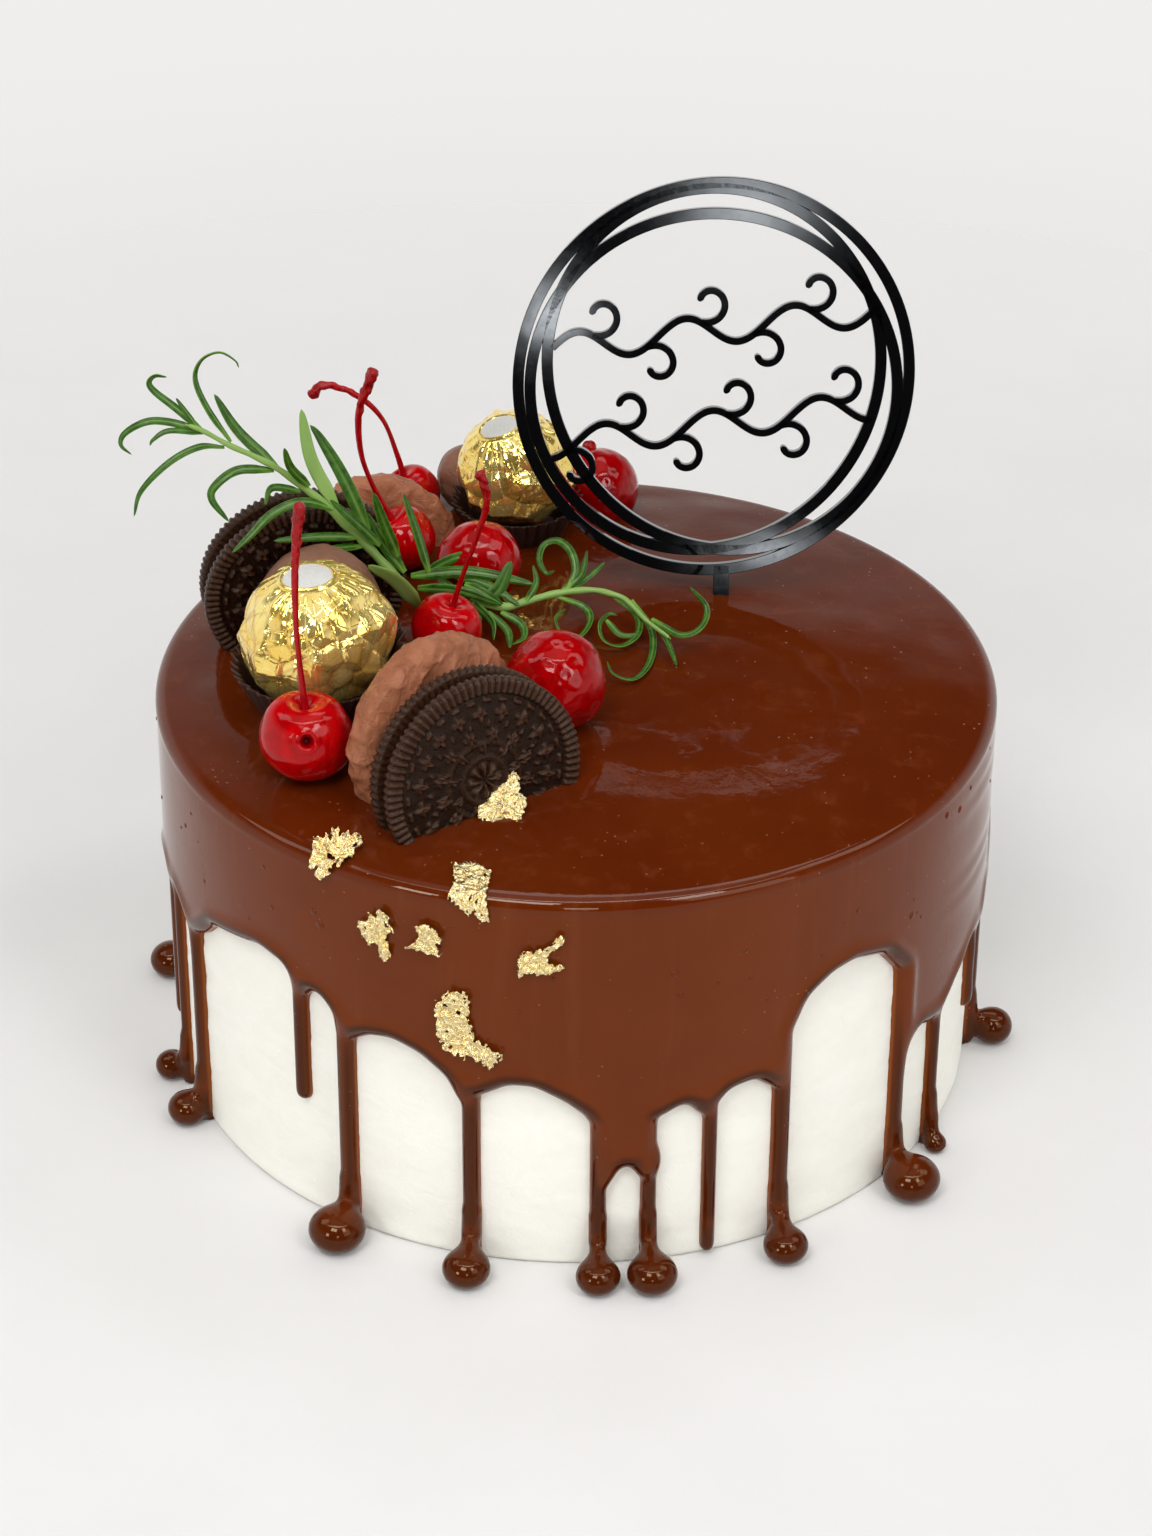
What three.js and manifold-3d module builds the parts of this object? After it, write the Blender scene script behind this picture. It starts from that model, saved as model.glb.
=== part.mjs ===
// Celebration drip cake: a tall round cream cake under a chocolate glaze that runs down in drips,
// with a hoop topper, wafer cookies, coated biscuits, foil pralines in paper cups, truffles,
// stemmed cherries, glazed berries and two rosemary sprigs.
// Frame: millimetres, +Z up, origin at the middle of the flat base, -Y is the front.
import * as THREE from "three";
import { mergeVertices } from "three/addons/utils/BufferGeometryUtils.js";
import Module from "manifold-3d";

const wasm = await Module();
wasm.setup();
const V = (x, y, z) => new THREE.Vector3(x, y, z);
const V2 = (x, y) => new THREE.Vector2(x, y);
const { cos, sin, abs, pow, PI } = Math;
const RAD = PI / 180;

// ---- named sizes -------------------------------------------------------------------------
const GAP = 0.3; // clearance between neighbouring solids
const CREAM_R = 88.4; // radius of the cream wall
const GLAZE_R = 91; // radius over the glaze
const GLAZE_T = 2.4; // glaze thickness on top
const TOP = 97.9; // height of the glazed top at its middle
const DOME_DROP = 4.8; // how far the domed top falls ...
const DOME_AT = 85; // ... by this radius
const FILLET = 3.0; // rounding of the glazed rim

const COOKIE_R = 22.2; // sandwich cookie
const WAFER_T = 3.1;
const FILLING_T = 2.6;
const FILLING_R = 20.2;

const TOPPER_T = 2.4; // sheet thickness
const TOPPER_LEAN = 16.5 * RAD; // leans back from the vertical
const HOOP_R = 42.6; // middle line of the outer hoop
const HOOP_W = 2.5; // width of every hoop band
const TWIN_R = 38.2; // mean radius of the hoop that winds twice
const TWIN_SWING = 2.75; // swing that makes its three crossings
const SCROLL_W = 1.6; // stroke of the scroll work
const SCROLL_WAVE = 3.2; // swing of a scroll row
const SCROLL_PITCH = 23.5; // length of one wave
const CURL_R = 4.6; // first radius of a curl

const domeZ = (x, y) => TOP - (DOME_DROP * (x * x + y * y)) / (DOME_AT * DOME_AT);
const domeR = (r) => domeZ(r, 0);

// ---- helpers -------------------------------------------------------------------------------
// a closed geometry as a solid with its faces pointing out
function solid(geometry) {
  for (const key of Object.keys(geometry.attributes))
    if (key !== "position") geometry.deleteAttribute(key);
  const g = mergeVertices(geometry, 1e-4);
  const p = g.attributes.position;
  const tri = [];
  for (let t = 0; t < g.index.count; t += 3) {
    const [a, b, c] = [0, 1, 2].map((k) => g.index.getX(t + k));
    if (a !== b && b !== c && c !== a) tri.push(a, b, c);
  }
  const q = (i) => V(p.getX(i), p.getY(i), p.getZ(i));
  let volume = 0;
  for (let t = 0; t < tri.length; t += 3)
    volume += q(tri[t]).dot(q(tri[t + 1]).cross(q(tri[t + 2])));
  if (volume < 0)
    for (let t = 0; t < tri.length; t += 3) [tri[t + 1], tri[t + 2]] = [tri[t + 2], tri[t + 1]];
  return new wasm.Manifold(
    new wasm.Mesh({
      numProp: 3,
      vertProperties: new Float32Array(p.array),
      triVerts: new Uint32Array(tri),
    }),
  );
}
// moves every vertex of a geometry by a function
function bent(geometry, move) {
  const p = geometry.attributes.position;
  for (let i = 0; i < p.count; i++) {
    const q = move(V(p.getX(i), p.getY(i), p.getZ(i)), i);
    p.setXYZ(i, q.x, q.y, q.z);
  }
  return geometry;
}
// turned about Z; the profile is [radius, height] and starts and ends on the axis
const lathe = (profile, n) =>
  new THREE.LatheGeometry(profile.map(([r, z]) => V2(r, z)), n).rotateX(PI / 2);
const turned = (profile, n) => solid(lathe(profile, n));
// a ball whose radius changes with longitude and latitude
const ball = (r, n, m, shape = () => 1) =>
  solid(
    bent(new THREE.SphereGeometry(1, n, m).rotateX(PI / 2), (p) =>
      p.multiplyScalar(r * shape(Math.atan2(p.y, p.x), Math.asin(Math.max(-1, Math.min(1, p.z))))),
    ),
  );
// a round rod along points, its radius a function of 0..1
function rod(points, radius, n, steps) {
  const curve = new THREE.CatmullRomCurve3(points);
  const frames = curve.computeFrenetFrames(steps, false);
  return solid(
    bent(new THREE.CylinderGeometry(1, 1, 1, n, steps), (p) => {
      const t = Math.min(1, Math.max(0, p.y + 0.5));
      const k = Math.round(t * steps);
      return curve
        .getPointAt(t)
        .addScaledVector(frames.normals[k], radius(t) * p.x)
        .addScaledVector(frames.binormals[k], radius(t) * p.z);
    }),
  );
}
const unite = (list) => list.reduce((a, b) => a.add(b));
const keepOff = (body, others) => others.reduce((s, o) => s.subtract(o), body);
const shift = (body, p) => body.translate([p.x, p.y, p.z]);
// puts local X, Y, Z on three directions at a place
const pose = (body, ax, ay, az, at) =>
  body.transform(new THREE.Matrix4().makeBasis(ax, ay, az).setPosition(at).elements.slice());

// ---- seat: what stands on the glazed top ends a gap above it ---------------------------------
const RIM_IN = GLAZE_R - FILLET;
const RIM_Z = domeR(RIM_IN) - FILLET;
const seat = turned(
  [
    [0, 20],
    [130, 20],
    [130, RIM_Z],
    [GLAZE_R + GAP, RIM_Z],
    [GLAZE_R - 0.8 + GAP, RIM_Z + 2.2 + GAP],
    [RIM_IN, domeR(RIM_IN) + GAP],
    [45, domeR(45) + GAP],
    [0, TOP + GAP],
  ],
  60,
);
const seated = (body) => body.subtract(seat);

// ---- cream cake ----------------------------------------------------------------------------
const SKIN_Z = domeR(RIM_IN) - GLAZE_T; // underside of the glaze near the rim
const cake = turned(
  [
    [0, 0],
    [CREAM_R, 0],
    [CREAM_R, SKIN_Z - 2.6 - GAP],
    [CREAM_R - 2.8, SKIN_Z - GAP],
    [0, TOP - GLAZE_T - GAP],
  ],
  48,
);

// ---- chocolate glaze -----------------------------------------------------------------------
// Each drip: azimuth, width, height of its foot, then the bare arch after it as the height of its
// crown, of its near and of its far shoulder, then the pool the drip ends in: its radius (0 for
// none), its distance from the axis and its azimuth.
const POOLED = -1; // foot of a drip that runs into a pool
const DRIPS = [
  [-175, 3, 7, 55, 50, 50, 0],
  [-164.5, 3.2, POOLED, 54, 51, 44, 3.6, 93.2, -166.4],
  [-155.5, 4.4, POOLED, 62, 51, 58, 4.4, 93.8, -155.8],
  [-129.6, 4.2, 28, 57, 55, 50, 0],
  [-122, 4.9, POOLED, 53, 49, 38, 6.1, 96, -121.3],
  [-103.8, 4.3, POOLED, 46.5, 43, 37, 5, 96.4, -103.4],
  [-86.7, 3.8, POOLED, 27, 20, 23, 4.6, 96.2, -87],
  [-79.9, 4.2, POOLED, 41, 38, 36, 5.2, 96.8, -80.2],
  [-71.5, 3.6, 0.6, 43.5, 39, 39, 0],
  [-61, 4.6, POOLED, 64.4, 53, 56, 4.7, 96.2, -62.1],
  [-39.5, 4.6, POOLED, 35.5, 26, 33, 6.1, 96.3, -41],
  [-29.8, 3.8, POOLED, 44, 36, 43, 2.6, 92.4, -30.9],
  [-14, 3.8, 20, 46, 42, 40, 0],
  [-4, 4.2, POOLED, 60, 50, 52, 4.4, 95.1, -3.5],
  [12, 4.4, 24, 52, 48, 44, 0],
  [24, 4.2, POOLED, 58, 50, 48, 4.8, 95.8, 24.4],
  [43, 4.6, POOLED, 44, 40, 38, 5.6, 96.2, 42.5],
  [55, 3.8, 12, 50, 46, 44, 0],
  [66, 4.2, POOLED, 62, 52, 54, 4.6, 95.4, 66.3],
  [88, 4.6, POOLED, 46, 40, 42, 5.8, 96.4, 87.4],
  [98, 3.8, 30, 49, 45, 44, 0],
  [110, 4.2, POOLED, 59, 50, 46, 4.9, 95.6, 110.5],
  [128, 4.4, POOLED, 38, 33, 35, 5.4, 96.2, 127.6],
  [137, 3.6, 4, 52, 46, 44, 0],
  [148, 4.2, POOLED, 60, 50, 52, 4.5, 95.2, 148.4],
  [168, 4.4, POOLED, 50, 44, 46, 5, 95.6, 168.3],
];
const NECK_Z = 7.5; // a pooled drip leaves the wall below this height
const columns = []; // [azimuth, height of the glaze's lower edge]
DRIPS.forEach(([az, width, foot, crown, near, far], i) => {
  const next = DRIPS[(i + 1) % DRIPS.length];
  const half = width / 2 / GLAZE_R / RAD;
  const from = az + half;
  const to = (next[0] < az ? next[0] + 360 : next[0]) - next[1] / 2 / GLAZE_R / RAD;
  const low = foot === POOLED ? NECK_Z : foot + 0.8;
  columns.push([az - half + 0.3, low], [from - 0.3, low]);
  for (const s of to - from > 8 ? [0, 0.14, 0.5, 0.86, 1] : [0, 0.3, 0.7, 1]) {
    const base = near + (far - near) * s;
    const arch = pow(1 - pow(abs(2 * s - 1), 2.4), 1 / 2.4);
    columns.push([from + (to - from) * s, base + (crown - base) * arch]);
  }
});
const INNER_R = CREAM_R + 0.4;
const LOW = -1000; // marks heights that are counted from the lower edge
const glazeProfile = [
  [0, TOP - GLAZE_T],
  [INNER_R - 2.8, SKIN_Z],
  [INNER_R, SKIN_Z - 2.6],
  [INNER_R, LOW],
  [GLAZE_R - 0.2, LOW + 0.6],
  [GLAZE_R, RIM_Z],
  [GLAZE_R - 0.8, RIM_Z + 2.2],
  [RIM_IN, domeR(RIM_IN)],
  [45, domeR(45)],
  [0, TOP],
];
let glaze = solid(
  bent(lathe(glazeProfile, columns.length), (p, i) => {
    const [az, hem] = columns[Math.floor(i / glazeProfile.length) % columns.length];
    const [r, z] = glazeProfile[i % glazeProfile.length];
    return V(r * cos(az * RAD), r * sin(az * RAD), z < LOW / 2 ? hem + z - LOW : z);
  }),
);
const out = (az, r, z) => V(r * cos(az * RAD), r * sin(az * RAD), z);
for (const [az, width, , , , , pool, far, poolAz] of DRIPS) {
  if (!pool) continue;
  const height = 0.8 * pool;
  const drop = ball(1, 8, 4).scale([pool, pool, height]);
  const neck = rod(
    [out(az, GLAZE_R - 0.4, 9.5), out(az, GLAZE_R + 0.6, 6.5), out(poolAz, far - 0.35 * pool, height * 0.9)],
    (t) => width * 0.36 + (pool * 0.5 - width * 0.36) * t * t,
    4,
    2,
  );
  glaze = glaze.add(shift(drop, out(poolAz, far, height * 0.86))).add(neck);
}
const floor = turned([[0, -20], [140, -20], [140, 0], [0, 0]], 24);
glaze = glaze.subtract(floor);

// ---- sandwich cookies ----------------------------------------------------------------------
// discs face along their local Z: turned to `facing` from the front and leaned back by `lean`
function discAxes(facing, lean) {
  const n = V(sin(facing) * cos(lean), -cos(facing) * cos(lean), sin(lean));
  const a = V(cos(facing), sin(facing), 0);
  return [a, n.clone().cross(a).normalize(), n];
}
const wafer = turned(
  [
    [0, -WAFER_T],
    [COOKIE_R - 0.5, -WAFER_T],
    [COOKIE_R, -0.6],
    [COOKIE_R - 1, 0],
    [COOKIE_R - 3.4, -0.5],
    [0, -0.5],
  ],
  24,
);
const filling = turned([[0, -FILLING_T], [FILLING_R, -FILLING_T], [FILLING_R, 0], [0, 0]], 18);
function cookie(at, facing, lean) {
  const [a, b, n] = discAxes(facing * RAD, lean * RAD);
  const back = 2 * WAFER_T + FILLING_T + 2 * GAP;
  const deep = (d) => at.clone().addScaledVector(n, -d);
  return {
    front: seated(pose(wafer, a, b, n, at)),
    middle: seated(pose(filling, a, b, n, deep(WAFER_T + GAP))),
    back: seated(pose(wafer, a, b.clone().negate(), n.clone().negate(), deep(back))),
  };
}
const cookieFront = cookie(V(-18, -61.4, 102.4), 30, 7);
const cookieLeft = cookie(V(-58.4, 7.6, 106.9), 14, -7.5);

// ---- coated biscuits: thick soft-edged discs ------------------------------------------------
function biscuit(r, thick, at, facing, lean) {
  const [a, b, n] = discAxes(facing * RAD, lean * RAD);
  const h = thick / 2;
  const edge = [
    [0.78, 0.97],
    [0.94, 0.66],
  ];
  const profile = [
    [0, -h],
    ...edge.map(([q, w]) => [r * q, -h * w]),
    [r, 0],
    ...edge.reverse().map(([q, w]) => [r * q, h * w]),
    [0, h],
  ];
  return seated(pose(turned(profile, 18), a, b, n, at));
}

// ---- cherries and berries ------------------------------------------------------------------
function cherry(r, at, thick, stalk) {
  const body = ball(r, 10, 8, (lon, lat) => 1 - 0.16 * pow(Math.max(0, sin(lat)), 14));
  const stem = rod(
    stalk.map(([x, z]) => V(x, at.y, z)),
    (t) => thick * (0.85 + 0.95 * pow(Math.max(0, t - 0.7) / 0.3, 1.5)),
    4,
    6,
  );
  return seated(shift(body, at)).add(stem);
}
const berry = (r, at, seed) =>
  seated(shift(ball(r, 10, 8, (lon, lat) => 1 + 0.012 * sin(6 * lon + seed) * sin(7 * lat + seed)), at));

const CHERRY_FRONT = V(-55.4, -46.2, 103.5);
const CHERRY_MIDDLE = V(-27.9, -2.8, 104.6);
const CHERRY_LEFT = V(-38.8, 41.2, 102.7);
const CHERRY_BACK = V(-38.1, 68.1, 100);
const BERRY_RIGHT = V(-4.2, -29.4, 107.5);
const BERRY_LEFT = V(-21.5, 24.4, 106.2);
const BERRY_BACK = V(4.6, 72.6, 99.2);
const cherries = {
  cherry_front: cherry(9.6, CHERRY_FRONT, 0.85, [[-55.4, 110.6], [-56.6, 127.4], [-56.5, 142.6], [-55.6, 153], [-55, 158]]),
  cherry_middle: cherry(7.7, CHERRY_MIDDLE, 0.75, [[-26.4, 110.6], [-24.5, 117.1], [-21.6, 125.8], [-19.1, 134.6], [-19.6, 140], [-21, 142.6]]),
  cherry_left: cherry(7.4, CHERRY_LEFT, 0.85, [[-41.6, 107.6], [-45.7, 116.7], [-48, 124.7], [-48.2, 134], [-46, 141], [-44.4, 145]]),
  cherry_back: cherry(6.7, CHERRY_BACK, 0.8, [[-40.2, 104.8], [-41.3, 110.1], [-44.4, 119], [-49.7, 124.8], [-56.9, 127.7], [-61.1, 124.7]]),
};
const berryRight = berry(10.6, BERRY_RIGHT, 0);
const berryLeft = berry(9.3, BERRY_LEFT, 1);
const berryBack = berry(9.6, BERRY_BACK, 2);

// ---- foil pralines, their paper cups and the truffles beside them --------------------------
const crumple = (seed) => (lon, lat) =>
  1 + 0.02 * cos(lat) * sin(5 * lon + seed + 3 * lat) * cos(4 * lat + seed);
const PRALINE_FRONT = V(-54.4, -20.1, 113);
const PRALINE_FRONT_R = 15.9;
const PRALINE_BACK = V(-14, 59.6, 111.3);
const PRALINE_BACK_R = 13.2;
const TRUFFLE_FRONT = V(-53.1, -9.4, 109.4);
const TRUFFLE_FRONT_R = 17;
const TRUFFLE_BACK = V(-24.6, 74, 101.4);
const TRUFFLE_BACK_R = 8.1;
const pralineFront = shift(ball(PRALINE_FRONT_R, 12, 8, crumple(0.4)), PRALINE_FRONT);
const pralineBack = shift(ball(PRALINE_BACK_R, 12, 8, crumple(2.1)), PRALINE_BACK);
const room = (at, r, n = 12) => shift(ball(r, n, 8), at); // the place another piece takes
const roomPralineFront = room(PRALINE_FRONT, PRALINE_FRONT_R * 1.02 + 0.8);
const roomPralineBack = room(PRALINE_BACK, PRALINE_BACK_R * 1.02 + 0.7);
const truffleFront = seated(room(TRUFFLE_FRONT, TRUFFLE_FRONT_R)).subtract(roomPralineFront);
const truffleBack = keepOff(seated(room(TRUFFLE_BACK, TRUFFLE_BACK_R, 10)), [
  roomPralineBack,
  room(CHERRY_BACK, 7.3, 10),
]);

// pleated cup: a thin fluted wall on a flat floor
function cup(base, rim, height, pleats, at) {
  const wall = 0.6;
  const profile = [
    [0, 0],
    [base, 0],
    [rim, height],
    [rim - wall, height],
    [base - wall, wall],
    [0, wall],
  ];
  const g = bent(lathe(profile, pleats * 2), (p, i) => {
    const r = Math.hypot(p.x, p.y);
    const side = Math.floor(i / profile.length) % 2 ? -1 : 1;
    const pleat = r > 1e-3 ? 1 + (side * (0.2 + (0.7 * p.z) / height)) / r : 1;
    return V(p.x * pleat, p.y * pleat, p.z);
  });
  return seated(shift(solid(g), V(at.x, at.y, domeZ(at.x, at.y) + 0.1)));
}
const cupFront = keepOff(cup(12, 19.5, 12.5, 13, PRALINE_FRONT), [
  roomPralineFront,
  room(TRUFFLE_FRONT, TRUFFLE_FRONT_R + 0.8),
  room(CHERRY_FRONT, 10.2, 10),
  room(CHERRY_MIDDLE, 8.3, 10),
]);
const cupBack = keepOff(cup(10.2, 16.2, 11.5, 11, PRALINE_BACK), [
  roomPralineBack,
  room(BERRY_BACK, 10.3, 10),
  room(TRUFFLE_BACK, TRUFFLE_BACK_R + 0.6, 10),
]);
const biscuitFront = biscuit(21.2, 10.5, V(-29.9, -43.4, 104.4), 43, 0).subtract(room(BERRY_RIGHT, 11.2, 10));
const biscuitBack = biscuit(18.1, 8, V(-45, 54.4, 94.4), 1, -1).subtract(room(CHERRY_BACK, 7.3, 10));

// ---- topper --------------------------------------------------------------------------------
// drawn flat: x to the right and y up from the middle of the hoops, then leaned back and placed
// a strip of even width along a curve given as a function of 0..1
function strip(curve, n, width, closed = false) {
  const edge = (side) =>
    Array.from({ length: closed ? n : n + 1 }, (_, i) => {
      const t = i / n;
      const d = curve(t + 1e-3).sub(curve(t - 1e-3)).normalize();
      return curve(t).add(V2(-d.y, d.x).multiplyScalar((side * width) / 2));
    });
  const [left, right] = [edge(1), edge(-1)];
  const shape = new THREE.Shape(closed ? right : [...right, ...left.reverse()]);
  if (closed) shape.holes.push(new THREE.Path(left));
  return solid(
    new THREE.ExtrudeGeometry(shape, { depth: TOPPER_T, bevelEnabled: false, steps: 1 }).translate(0, 0, -TOPPER_T / 2),
  );
}
const polar = (r, a, dx = 0, dy = 0) => V2(r * cos(a) + dx, 1.03 * r * sin(a) + dy);
const hoop = (t) => polar(HOOP_R + 0.75 * cos(4 * PI * t - 1.4), 2 * PI * t, -0.25, 0.3);
const twin = (t) => {
  const a = 4 * PI * t + 30 * RAD;
  return polar(TWIN_R + TWIN_SWING * sin(6 * PI * t) + 0.75 * sin(a), a, -0.2);
};
// one scroll row: a rising wave that carries a curl at each turn, above and below by turns
function scroll(y0, phase, x0, x1) {
  const wave = (x) => y0 + 0.13 * x + SCROLL_WAVE * sin((2 * PI * (x - phase)) / SCROLL_PITCH);
  const parts = [strip((t) => V2(x0 + (x1 - x0) * t, wave(x0 + (x1 - x0) * t)), 15, SCROLL_W)];
  for (let k = 0; ; k++) {
    const x = phase + SCROLL_PITCH * (0.5 * k - 0.12);
    if (x > x1 - 8) break;
    if (x < x0 + 2) continue;
    const turn = k % 2 ? 1 : -1;
    const heading = Math.atan2(wave(x + 0.01) - wave(x - 0.01), 0.02);
    const start = heading - (turn * PI) / 2;
    const mid = V2(x - CURL_R * cos(start), wave(x) - CURL_R * sin(start));
    parts.push(
      strip(
        (t) => {
          const r = CURL_R * (1 - 0.6 * t);
          const a = start + turn * 1.6 * PI * t;
          return V2(mid.x + r * cos(a), mid.y + r * sin(a));
        },
        6,
        SCROLL_W * 0.96,
      ),
    );
  }
  return parts;
}
const third = (k) => strip((t) => twin((k + t * 1.04) / 3), 18, HOOP_W);
const topperFlat = unite([
  strip(hoop, 32, HOOP_W, true),
  third(0),
  third(1),
  third(2),
  ...scroll(10, -36, -35.6, 35.6),
  ...scroll(-11, -30, -35.4, 34.6),
  strip((t) => V2(2.1, -43 - 13 * t), 1, 3.5),
]);
const TOPPER_FOOT = V(32, 28, domeZ(32, 28));
const topperUp = V(0, sin(TOPPER_LEAN), cos(TOPPER_LEAN));
const topper = seated(
  pose(
    topperFlat,
    V(1, 0, 0),
    topperUp,
    V(1, 0, 0).cross(topperUp),
    TOPPER_FOOT.clone().addScaledVector(topperUp, 49).add(V(-2.1, 0, 0)),
  ),
);

// ---- rosemary sprigs -----------------------------------------------------------------------
// stem points, then needles as [place on the stem 0..1, bend point, tip]
function sprig(points, thick, needles) {
  const curve = new THREE.CatmullRomCurve3(points);
  const parts = [rod(points, (t) => thick * (1 - 0.6 * t), 4, 7)];
  for (const [t, bend, tip] of needles)
    parts.push(rod([curve.getPoint(t), bend, tip], (s) => 0.25 + 0.75 * Math.sqrt(1 - s) * (0.6 + 1.2 * s), 3, 2));
  return unite(parts);
}
const sprigLeft = sprig(
  [V(-34.5, 5, 108), V(-45.6, 5, 121.4), V(-52.6, 4, 129.9), V(-63.4, 2, 140.6), V(-73.1, 0, 147), V(-81.9, -1.5, 152.6)],
  1.3,
  [
    [0.12, V(-41, 2, 124), V(-43.2, 1, 134.8)],
    [0.12, V(-38, 8, 119), V(-37.2, 8, 131)],
    [0.34, V(-54, -1, 127), V(-64.1, -4, 128)],
    [0.4, V(-52, 6, 141), V(-56.7, 8, 148)],
    [0.45, V(-64, -4, 136), V(-72.6, -8, 129)],
    [0.55, V(-60, -1, 144), V(-61.2, -3, 149)],
    [0.6, V(-70, -4, 141), V(-73.2, -6, 134)],
    [0.62, V(-72, 4, 150), V(-76.3, 5, 156)],
    [0.72, V(-79, 3, 158), V(-72, 4, 163.5)],
    [0.8, V(-88, -4, 146), V(-92.9, -7, 135)],
    [0.86, V(-90, -2, 152), V(-94, -3, 146.5)],
    [0.95, V(-89, 1, 158), V(-86, 2, 162)],
  ],
);
const sprigRight = sprig(
  [V(-15.8, 8.6, 105.2), V(-3.7, 14.5, 104.6), V(3.1, 15, 104.6), V(10.7, 11.5, 104), V(15.2, 4, 103), V(20.3, -1.1, 101.5)],
  1.1,
  [
    [0.1, V(-12, 14, 107), V(-9.6, 18, 111)],
    [0.3, V(-2, 24, 108), V(2.2, 26.8, 108)],
    [0.35, V(-6, 26, 108), V(-7.4, 22, 109)],
    [0.45, V(4, 19, 106), V(6.6, 23.2, 107)],
    [0.55, V(13, 8, 101.5), V(9.2, 0.5, 100)],
    [0.72, V(18, -3, 100.5), V(12.1, -12, 99.6)],
    [0.75, V(21, 3, 101), V(27.7, 3.5, 105)],
    [0.85, V(19.5, -4, 101), V(21.6, -8, 99.6)],
  ],
);

// ---- meshes --------------------------------------------------------------------------------
const root = new THREE.Group();
root.name = "drip_cake";
const paint = (color, roughness, metalness = 0) =>
  new THREE.MeshStandardMaterial({ color, roughness, metalness });
const CREAM = paint(0xf6f3ea, 0.6);
const GLAZE = paint(0x4f2415, 0.12);
const BLACK = paint(0x070707, 0.08);
const WAFER = paint(0x2a1c15, 0.65);
const DARK = paint(0x1c110c, 0.6);
const MILK = paint(0x7b4a36, 0.4);
const GOLD = paint(0xd9ac3c, 0.25, 1);
const PAPER = paint(0x2b1410, 0.6);
const CHERRY = paint(0xb00812, 0.12);
const LEAF = paint(0x3f7a24, 0.45);

function add(name, body, material) {
  const { vertProperties, triVerts, numProp } = body.getMesh();
  const flat = new Float32Array(triVerts.length * 3);
  triVerts.forEach((v, i) => {
    for (let k = 0; k < 3; k++) flat[3 * i + k] = vertProperties[numProp * v + k];
  });
  const g = new THREE.BufferGeometry();
  g.setAttribute("position", new THREE.BufferAttribute(flat, 3));
  g.computeVertexNormals();
  const mesh = new THREE.Mesh(g, material);
  mesh.name = name;
  root.add(mesh);
}

add("cake_body", cake, CREAM);
add("chocolate_glaze", glaze, GLAZE);
add("topper", topper, BLACK);
add("front_cookie_wafer_front", cookieFront.front, WAFER);
add("front_cookie_filling", cookieFront.middle, DARK);
add("front_cookie_wafer_back", cookieFront.back, WAFER);
add("left_cookie_wafer_front", cookieLeft.front, WAFER);
add("left_cookie_filling", cookieLeft.middle, DARK);
add("left_cookie_wafer_back", cookieLeft.back, WAFER);
add("coated_biscuit_front", biscuitFront, MILK);
add("coated_biscuit_back", biscuitBack, MILK);
add("praline_front", pralineFront, GOLD);
add("praline_back", pralineBack, GOLD);
add("praline_cup_front", cupFront, PAPER);
add("praline_cup_back", cupBack, PAPER);
add("truffle_front", truffleFront, MILK);
add("truffle_back", truffleBack, MILK);
for (const [name, body] of Object.entries(cherries)) add(name, body, CHERRY);
add("berry_left", berryLeft, CHERRY);
add("berry_right", berryRight, CHERRY);
add("berry_back", berryBack, CHERRY);
add("rosemary_sprig_left", sprigLeft, LEAF);
add("rosemary_sprig_right", sprigRight, LEAF);

export default root;
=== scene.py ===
import math

import bpy
import numpy as np
from mathutils import Matrix, Vector


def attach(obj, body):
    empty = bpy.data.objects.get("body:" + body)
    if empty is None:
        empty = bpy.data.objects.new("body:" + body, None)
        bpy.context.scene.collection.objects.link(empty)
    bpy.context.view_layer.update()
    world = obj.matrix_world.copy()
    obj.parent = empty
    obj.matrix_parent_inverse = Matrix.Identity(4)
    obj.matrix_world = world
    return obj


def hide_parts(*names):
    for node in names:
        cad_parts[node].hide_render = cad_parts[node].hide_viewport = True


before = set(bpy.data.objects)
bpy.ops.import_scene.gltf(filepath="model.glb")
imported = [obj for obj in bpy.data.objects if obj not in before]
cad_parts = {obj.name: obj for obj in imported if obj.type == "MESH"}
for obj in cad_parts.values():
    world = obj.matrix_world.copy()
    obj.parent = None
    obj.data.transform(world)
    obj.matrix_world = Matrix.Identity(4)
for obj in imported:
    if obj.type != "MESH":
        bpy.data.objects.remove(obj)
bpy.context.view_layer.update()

MM = 0.001
RAD = math.pi / 180
CREAM_R = 88.4
GLAZE_R = 91.0
TOP, DOME_DROP, DOME_AT, FILLET = 97.9, 4.8, 85.0, 3.0
RIM_IN = GLAZE_R - FILLET


def dome(r):
    return TOP - DOME_DROP * np.square(r) / DOME_AT**2


RIM_Z = float(dome(RIM_IN)) - FILLET


# ---- numbers ---------------------------------------------------------------------------------
def unit(v):
    v = np.asarray(v, float)
    return v / np.maximum(np.linalg.norm(v, axis=-1, keepdims=True), 1e-12)


def step(a, b, x):
    t = np.clip((x - a) / (b - a), 0, 1)
    return t * t * (3 - 2 * t)


def sphere_points(n, rng):
    return unit(rng.normal(size=(n, 3)))


def even_points(n):
    i = np.arange(n) + 0.5
    z = 1 - 2 * i / n
    a = math.pi * (1 + 5**0.5) * i
    r = np.sqrt(1 - z * z)
    return np.stack([r * np.cos(a), r * np.sin(a), z], 1)


def lumps(p, seed, scale, n=14):
    """Smooth noise from seeded waves, about -1 to 1. scale is the wave length in the units of p."""
    rng = np.random.default_rng(seed)
    p = np.asarray(p, float)
    total = np.zeros(p.shape[:-1])
    for _ in range(n):
        k = unit(rng.normal(size=3)) * 2 * math.pi / scale * rng.uniform(0.6, 1.7)
        total += np.sin(p @ k + rng.uniform(0, 2 * math.pi))
    return total / math.sqrt(n) * 0.8


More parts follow.
